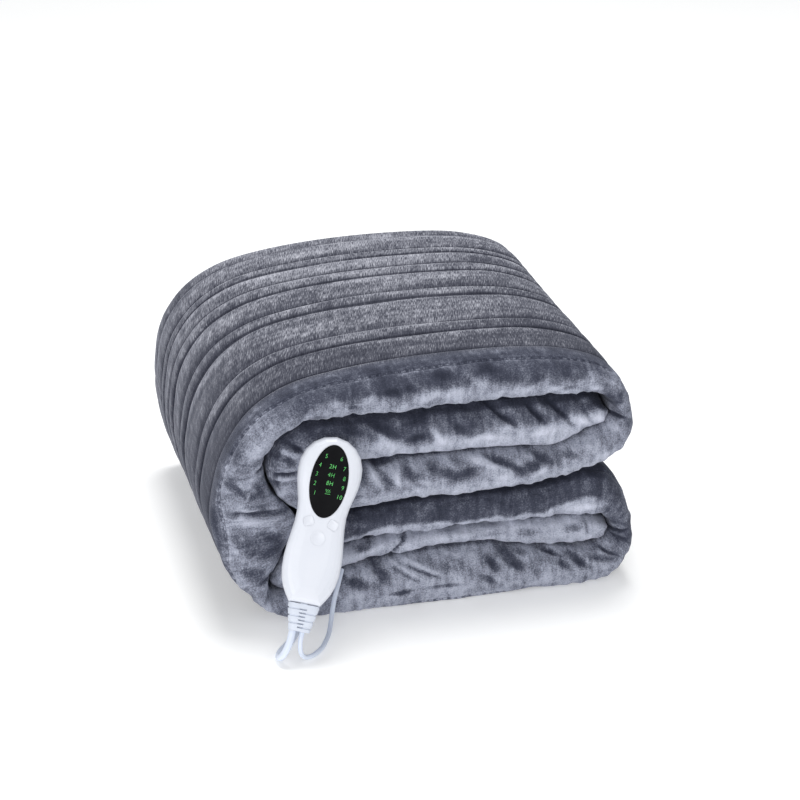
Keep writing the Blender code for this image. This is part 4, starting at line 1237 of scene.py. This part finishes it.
def blanket_grid():
    """Points of the sheet, and where each lies on the strip: along it and round its section."""
    stations = round_tips(strip_stations())
    middle = (stations[:, :2] + stations[:, 2:4]) / 2
    along = np.concatenate([[0], np.cumsum(np.linalg.norm(np.diff(middle, axis=0), axis=1))])
    samples = round_samples()
    wander = np.zeros((len(along), len(samples)))
    for i, (distance, _, reach) in enumerate(STITCH_LINES):
        share = np.exp(-((samples - distance * MM) / (7 * MM)) ** 2)
        wander += (reach * MM * wobble(along, 51 + i, 14))[:, None] * share[None, :]
    rings = []
    for row, shift in zip(stations, wander):
        outer, inner = row[:2], row[2:4]
        span = outer - inner
        thick = np.linalg.norm(span)
        up = span[1] / thick
        sizes = (thick, rounding(up), rounding(-up), row[4])
        profile, nose = main_profile(*sizes)
        steps = np.concatenate([[0], np.cumsum(np.linalg.norm(np.diff(profile, axis=0), axis=1))])
        gone = steps[nose] - steps
        far_out, far_in = gone[0], -gone[-1]
        wanted = samples + shift
        # Beyond the front the distances are stretched, so that the last is at the hem or back fold.
        stretch_out = (far_out - UNSTRETCHED) / (OUTER_REACH - UNSTRETCHED)
        stretch_in = (far_in - UNSTRETCHED) / (INNER_REACH - UNSTRETCHED)
        wanted = np.where(wanted > UNSTRETCHED, UNSTRETCHED + (wanted - UNSTRETCHED) * stretch_out, wanted)
        wanted = np.where(wanted < -UNSTRETCHED, -UNSTRETCHED + (wanted + UNSTRETCHED) * stretch_in, wanted)
        y = np.interp(-wanted, -gone, profile[:, 0])
        height = np.interp(-wanted, -gone, profile[:, 1])
        hidden = hidden_profile(*sizes)
        y = np.concatenate([y, hidden[:, 0]])
        height = np.concatenate([height, hidden[:, 1]])
        place = inner[None, :] + span[None, :] * (height / thick)[:, None]
        rings.append(np.stack([place[:, 0], y, place[:, 1]], axis=1))
    grid = np.array(rings)
    beside_bulge = np.abs(grid[..., 2] - SPINE_BULGE[0]) / SPINE_BULGE[1]
    bulge = np.where(grid[..., 0] < 0, np.maximum(0, 1 - beside_bulge), 0)
    depth = (grid[..., 1] - FRONT_Y) / (BACK_Y - FRONT_Y)
    grid[..., 0] *= 1 - SPINE_SQUEEZE * bulge * depth
    return grid, along, samples


def grid_normals(grid):
    """Outward normals of the closed grid of rings."""
    along = np.gradient(grid, axis=0)
    around = np.roll(grid, -1, axis=1) - np.roll(grid, 1, axis=1)
    normal = np.cross(along, around)
    return normal / np.maximum(np.linalg.norm(normal, axis=2, keepdims=True), 1e-12)


def patch_distance(points, x, z, half_length, half_width, turn):
    """Squared distance from a patch's middle, 1 at its half length and half width."""
    across = points[:, :, 0] - x * MM
    up = points[:, :, 2] - z * MM
    cosine, sine = math.cos(math.radians(turn)), math.sin(math.radians(turn))
    far_along = (across * cosine + up * sine) / (half_length * MM)
    far_aside = (up * cosine - across * sine) / (half_width * MM)
    return far_along ** 2 + far_aside ** 2


def crease_fields(points, layers):
    """Lift of the cloth and change of its tone from the creases, at points of the front: painted shade in
    the troughs, painted light on the ridges.
    """
    lift = np.zeros(points.shape[:2])
    crease_and_crush_shading = np.zeros(points.shape[:2])
    for layer, creases in CREASES.items():
        here = layers == layer
        for x, z, half_length, half_width, turn, height, tone in creases:
            away = patch_distance(points[here], x, z, half_length, half_width, turn)
            share = np.exp(-0.8 * away ** 1.6)
            lift[here] += CREASE_STRENGTH * height * MM * share
            # painted shade in the troughs, painted light on the ridges, and the crushed pile's tone
            crease_and_crush_shading[here] += tone * share
    return lift, crease_and_crush_shading


def bulge_shift(points, layers):
    """Sideways and forward shift of the front where a fold bulges."""
    shift = np.zeros(points.shape)
    for first, last, x, z, half_length, half_width, turn, sideways, forward in BULGES:
        here = (layers >= first) & (layers <= last)
        share = np.exp(-patch_distance(points[here], x, z, half_length, half_width, turn))
        shift[here, :, 0] += sideways * MM * share
        shift[here, :, 1] -= forward * MM * share
    return shift


# Tone of each layer's front from its top to its bottom edge: painted sheen, dark over the upper
# part, where the pile lies down, and light over the lower part, where it stands out.
#    layer, upper tone, lower tone, height of the border above the nose, softness, waviness,
#    height above the nose from which the cloth lies in a recess and takes painted shade (all heights in mm)
FRONT_TONES = (
    (SECOND, 0.34, 0.73, -2.0, 13.0, 8.0, 13.0),
    (THIRD, 0.60, 0.70, -8.0, 8.0, 3.0, 22.0),
    (TOP, 0.30, 0.62, 2.0, 13.0, 7.0, 40.0),
    (BOTTOM, 0.61, 0.62, 0.0, 20.0, 3.0, 27.0),
    (FOURTH, 0.26, 0.69, -5.0, 6.0, 4.0, 13.0),
    (FIFTH, 0.74, 0.72, 0.0, 10.0, 2.0, 13.0),
)
RECESS_PAINTED_SHADE = -0.25
RECESS_EDGE = 5 * MM          # over which the tone changes there
# Bends of the strip, where the front has one tone: the two at the right, the two inner ones
# at the left and the spine.
#    middle and half length along the strip (m), tone
BEND_TONES = (
    (0.625, 0.035, 0.48),
    (1.480, 0.035, 0.38),
    (0.318, 0.045, 0.55),
    (1.800, 0.040, 0.54),
    (1.060, 0.100, 0.54),
)
FACES_DOWN = (THIRD, BOTTOM, FIFTH)     # layers whose outer face is their lower one


def front_tone(along, samples, layers):
    """Tone of the front before its creases, with its painted sheen and the painted shade in its recesses.
    """
    tone = np.full((len(along), len(samples)), 0.5)
    for layer, upper, lower, border, soft, wave, recess in FRONT_TONES:
        here = layers == layer
        height = samples[None, :] * (-1 if layer in FACES_DOWN else 1)
        edge = border * MM + wave * MM * (wobble(along[here], 71 + layer, 22)
                                          + 0.6 * wobble(along[here], 81 + layer, 60))[:, None]
        above = smoothstep(-soft / 2 * MM, soft / 2 * MM, height - edge)
        tone[here] = upper + (lower - upper) * (1 - above)
        # Painted shade where the cloth lies in a recess under the fold above.
        tone[here] += RECESS_PAINTED_SHADE * smoothstep(recess * MM, recess * MM + RECESS_EDGE, height)
    for middle, half, bend_tone in BEND_TONES:
        share = np.exp(-((along - middle) / half) ** 4)[:, None]
        tone += (bend_tone - tone) * share
    return tone


def sheet_faces(along, around, samples):
    """Faces of the closed grid: close together at the front, and wide apart where covered.

    Rings with an odd number are used at the front only. Where another layer covers the
    outer face, only some of its points are used.
    """
    rings = len(along)
    fine = [j for j in range(len(samples)) if -40 * MM < samples[j] < 35 * MM]
    first, last = fine[0], fine[-1]
    everywhere = list(range(around))
    covered = [j for j in everywhere if j >= first or j % 6 == 0]
    bands = [everywhere if SHOWN_OUTSIDE[0] < along[i] < SHOWN_OUTSIDE[1] else covered
             for i in range(0, rings - 1, 2)]

    def used(band):
        return set(bands[max(band - 1, 0)]) | set(bands[min(band, len(bands) - 1)])

    faces = []
    for band, columns in enumerate(bands):
        near, far = used(band), used(band + 1)
        low, middle, high = ((band * 2 + step) * around for step in range(3))
        for here, there in zip(columns, columns[1:] + columns[:1]):
            if first <= here < last:
                faces.append((low + here, low + there, middle + there, middle + here))
                faces.append((middle + here, middle + there, high + there, high + here))
                continue
            between = range(here, there + 1) if there > here else (here, there)
            face = [low + j for j in between if j in near]
            face += [middle + there] * (there == first)
            face += [high + j for j in reversed(between) if j in far]
            face += [middle + here] * (here == last)
            faces.append(tuple(face))
    end = (rings - 1) * around
    faces.append(tuple(j for j in reversed(everywhere) if j in used(0)))
    faces.append(tuple(end + j for j in everywhere if j in used(len(bands))))
    return [face[::-1] for face in faces]


# How much darker the quilted face is next to the front fold, and how that changes with the
# distance from the fold and with x: darker at the right and down the left side.
#    start, end (mm), change
DARKER_BY_FOLD = 0.17
DARKER_BACKWARDS = ((60, 135, -0.12), (180, 280, -0.07))
DARKER_SIDEWAYS = ((50, 170, 0.06), (-70, -130, 0.05))
FULL_STITCH = 2.3             # a stitch line at least this deep (mm) shows its full tone


def seam_shade_and_highlight(beyond):
    """Tone beside a stitch line, at distances behind it in millimetres.

    The line itself is dark, from its pressed pile and from painted shade in the groove, with painted shade
    behind it and a painted highlight on the rim and slope before it.
    """
    tone = np.where(beyond < 0, 0.35 * np.exp(beyond / 8), 0)
    tone -= np.where(beyond > 0, 0.50 * np.exp(-beyond / 9), 0)
    tone -= np.exp(-((beyond - 0.4) / 1.1) ** 2)
    return tone + 0.65 * np.exp(-((beyond + 2.2) / 1.1) ** 2)


# Distances round the section over which a change sets in, and along the strip for PRESSED.
DARKER_FROM = (26 * MM, 32 * MM)
QUILTED_FROM = (40 * MM, 50 * MM)
FRONT_FROM = (-46 * MM, -20 * MM)       # the front is uneven from here, on the inner side
FRONT_UNTIL = (24 * MM, 36 * MM)        # to here, on the outer side
PRESSED_UNTIL = (0.50, 0.56)            # another layer lies on the outer face up to here
PRESSED_FROM = (1.53, 1.59)             # and again from here
HIDDEN_REACH = 0.7                      # of the cloth round the hidden plies, about

# Unevenness of the front: waves in a metre, and height.
SWELLS = (26.0, 1.3 * MM)
DENTS = (75.0, 0.9 * MM)
PUCKERS = (120.0, 2.1 * MM)   # on the lip of each fold, where the stitched channels end
LIP_AT = 15 * MM              # distance of the lip from the nose, on either side
LIP_HALF = 7 * MM
LEAST_HEIGHT = 0.2 * MM       # of the cloth above the surface, so that the two don't flicker


def make_blanket():
    grid, along, samples = blanket_grid()
    rings, around = grid.shape[:2]
    count = len(samples)
    out = grid_normals(grid)[:, :count]
    # The channels are pressed flat where another layer covers them.
    pressed = 1 - smoothstep(*PRESSED_UNTIL, along) * (1 - smoothstep(*PRESSED_FROM, along))
    lift = pillow(samples, along) * (1 - PRESSED_FLAT * pressed)[:, None]

    # The front fold: swells, dents, puckers and the listed creases.
    layers = np.searchsorted(LAYER_ENDS, along)
    near = (samples > -48 * MM) & (samples < 38 * MM)
    front = smoothstep(*FRONT_FROM, samples) * (1 - smoothstep(*FRONT_UNTIL, samples))
    shown = grid[:, :count][:, near]
    uneven = surface_noise(shown, SWELLS[0], 1) * SWELLS[1]
    uneven += surface_noise(shown, DENTS[0], 2) * DENTS[1]
    lip = np.exp(-((np.abs(samples[near]) - LIP_AT) / LIP_HALF) ** 2)
    uneven += surface_noise(shown * (1.0, 0.3, 0.45), PUCKERS[0], 3, octaves=2) * PUCKERS[1] * lip
    creased, crease_and_crush_shading = crease_fields(shown, layers)
    lift[:, near] += (uneven + creased) * front[near]
    grid[:, :count] += out * lift[..., None]
    grid[:, :count][:, near] += bulge_shift(shown, layers) * front[near][None, :, None]
    grid[..., 2] = np.maximum(grid[..., 2], LEAST_HEIGHT)

    faces = sheet_faces(along, around, samples)
    kept = np.zeros(rings * around, dtype=bool)
    for face in faces:
        kept[list(face)] = True
    place = np.cumsum(kept) - 1
    data = bpy.data.meshes.new("blanket_cloth")
    corners = [[int(place[k]) for k in face] for face in faces]
    data.from_pydata(grid.reshape(-1, 3)[kept].tolist(), [], corners)
    data.update()
    blanket = put_in_scene("blanket_cloth", data)
    data.shade_smooth()

    # What the finish needs to know follows the sheet.
    # The nap attribute carries painted sheen and recess shade on the front, and painted shade and light on
    # the creases.
    nap_and_painted_light = np.full((rings, around), 0.5)
    tone = front_tone(along, samples, layers)
    nap_and_painted_light[:, :count] += (tone - 0.5) * front
    nap_and_painted_light[:, :count][:, near] += crease_and_crush_shading
    darker = np.full((rings, count), DARKER_BY_FOLD)
    for start, end, change in DARKER_BACKWARDS:
        darker += change * smoothstep(start * MM, end * MM, samples)
    for start, end, change in DARKER_SIDEWAYS:
        darker += change * smoothstep(start * MM, end * MM, grid[:, :count, 0])
    nap_and_painted_light[:, :count] -= darker * smoothstep(*DARKER_FROM, samples)
    quilted = np.zeros((rings, around))
    quilted[:, :count] = smoothstep(*QUILTED_FROM, samples)
    # Painted shade and highlight beside each stitch line.
    seam_shading = np.zeros((rings, around))
    for distance, depth, _ in STITCH_LINES:
        seam_shading[:, :count] += min(1.0, depth / FULL_STITCH) * seam_shade_and_highlight(samples / MM - distance)
    for name, values in (("nap_and_painted_light", nap_and_painted_light), ("quilted", quilted), ("seam_shading", seam_shading)):
        layer = data.attributes.new(name, "FLOAT", "POINT")
        layer.data.foreach_set("value", values.reshape(-1)[kept].astype(np.float32))
    hidden_place = np.linspace(samples[-1], samples[-1] - HIDDEN_REACH, around - count)
    round_place = np.concatenate([samples, hidden_place])
    cloth = data.uv_layers.new(name="cloth")
    loops = np.zeros(len(data.loops), dtype=np.int32)
    data.loops.foreach_get("vertex_index", loops)
    spread = np.stack([np.repeat(along, around), np.tile(round_place, rings)], axis=1)[kept]
    cloth.data.foreach_set("uv", spread[loops].reshape(-1).astype(np.float32))
    return blanket


# ---- Floor and light -------------------------------------------------------------
def place_floor():
    bpy.ops.object.select_all(action="DESELECT")
    bpy.ops.mesh.primitive_plane_add(size=12, location=(0, 0, 0))
    floor = bpy.context.object
    floor.name = "floor"
    made, nodes, links, shader = new_finish("pale_floor", 0.75, Emission_Strength=0.24)
    shader.inputs["Emission Color"].default_value = (1.0, 1.0, 1.0, 1.0)
    drift_colour(nodes, links, shader, object_place(nodes), 3.0, (0.86, 0.86, 0.855), (0.88, 0.88, 0.875))
    floor.data.materials.append(made)


def area_light(name, place, aim, size, energy):
    data = bpy.data.lights.new(name, "AREA")
    data.shape = "DISK"
    data.size = size
    data.energy = energy
    lamp = put_in_scene(name, data)
    lamp.location = place
    lamp.rotation_mode = "QUATERNION"
    lamp.rotation_quaternion = (Vector(place) - Vector(aim)).to_track_quat("Z", "Y")


def place_lights():
    world = bpy.data.worlds.new("studio")
    bpy.context.scene.world = world
    world.use_nodes = True
    world.node_tree.nodes["Background"].inputs["Color"].default_value = (0.97, 0.985, 1.0, 1.0)
    world.node_tree.nodes["Background"].inputs["Strength"].default_value = 0.55
    area_light("key_softbox", (0.1, 0.5, 2.3), (0, 0, 0.1), 1.2, 38)
    area_light("front_fill", (-1.2, -2.3, 0.7), (0, -0.1, 0.1), 1.6, 27)
    bpy.context.scene.view_settings.view_transform = "Standard"


place_camera()
place_floor()
place_lights()
housing = moulded_finish("housing_satin", HOUSING_COLOUR, HOUSING_SHADE, 0.38)
for node in ("front_shell", "back_shell"):
    bpy.data.objects[node].material_slots[0].material = housing
make_window()
make_display()
make_keys(housing)
make_relief(moulded_finish("relief_satin", RELIEF_COLOUR, RELIEF_SHADE, 0.45))
make_plug(moulded_finish("plug_satin", LEAD_COLOUR, LEAD_SHADE, 0.40))
blade_metal = blade_finish()
for node in ("plug_blade_left", "plug_blade_right"):
    bpy.data.objects[node].material_slots[0].material = blade_metal
bpy.data.objects["coil_tie"].material_slots[0].material = tie_finish()
make_leads()
blanket = make_blanket()
blanket.data.materials.append(plush_finish())
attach(blanket, "root")
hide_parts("blanket")
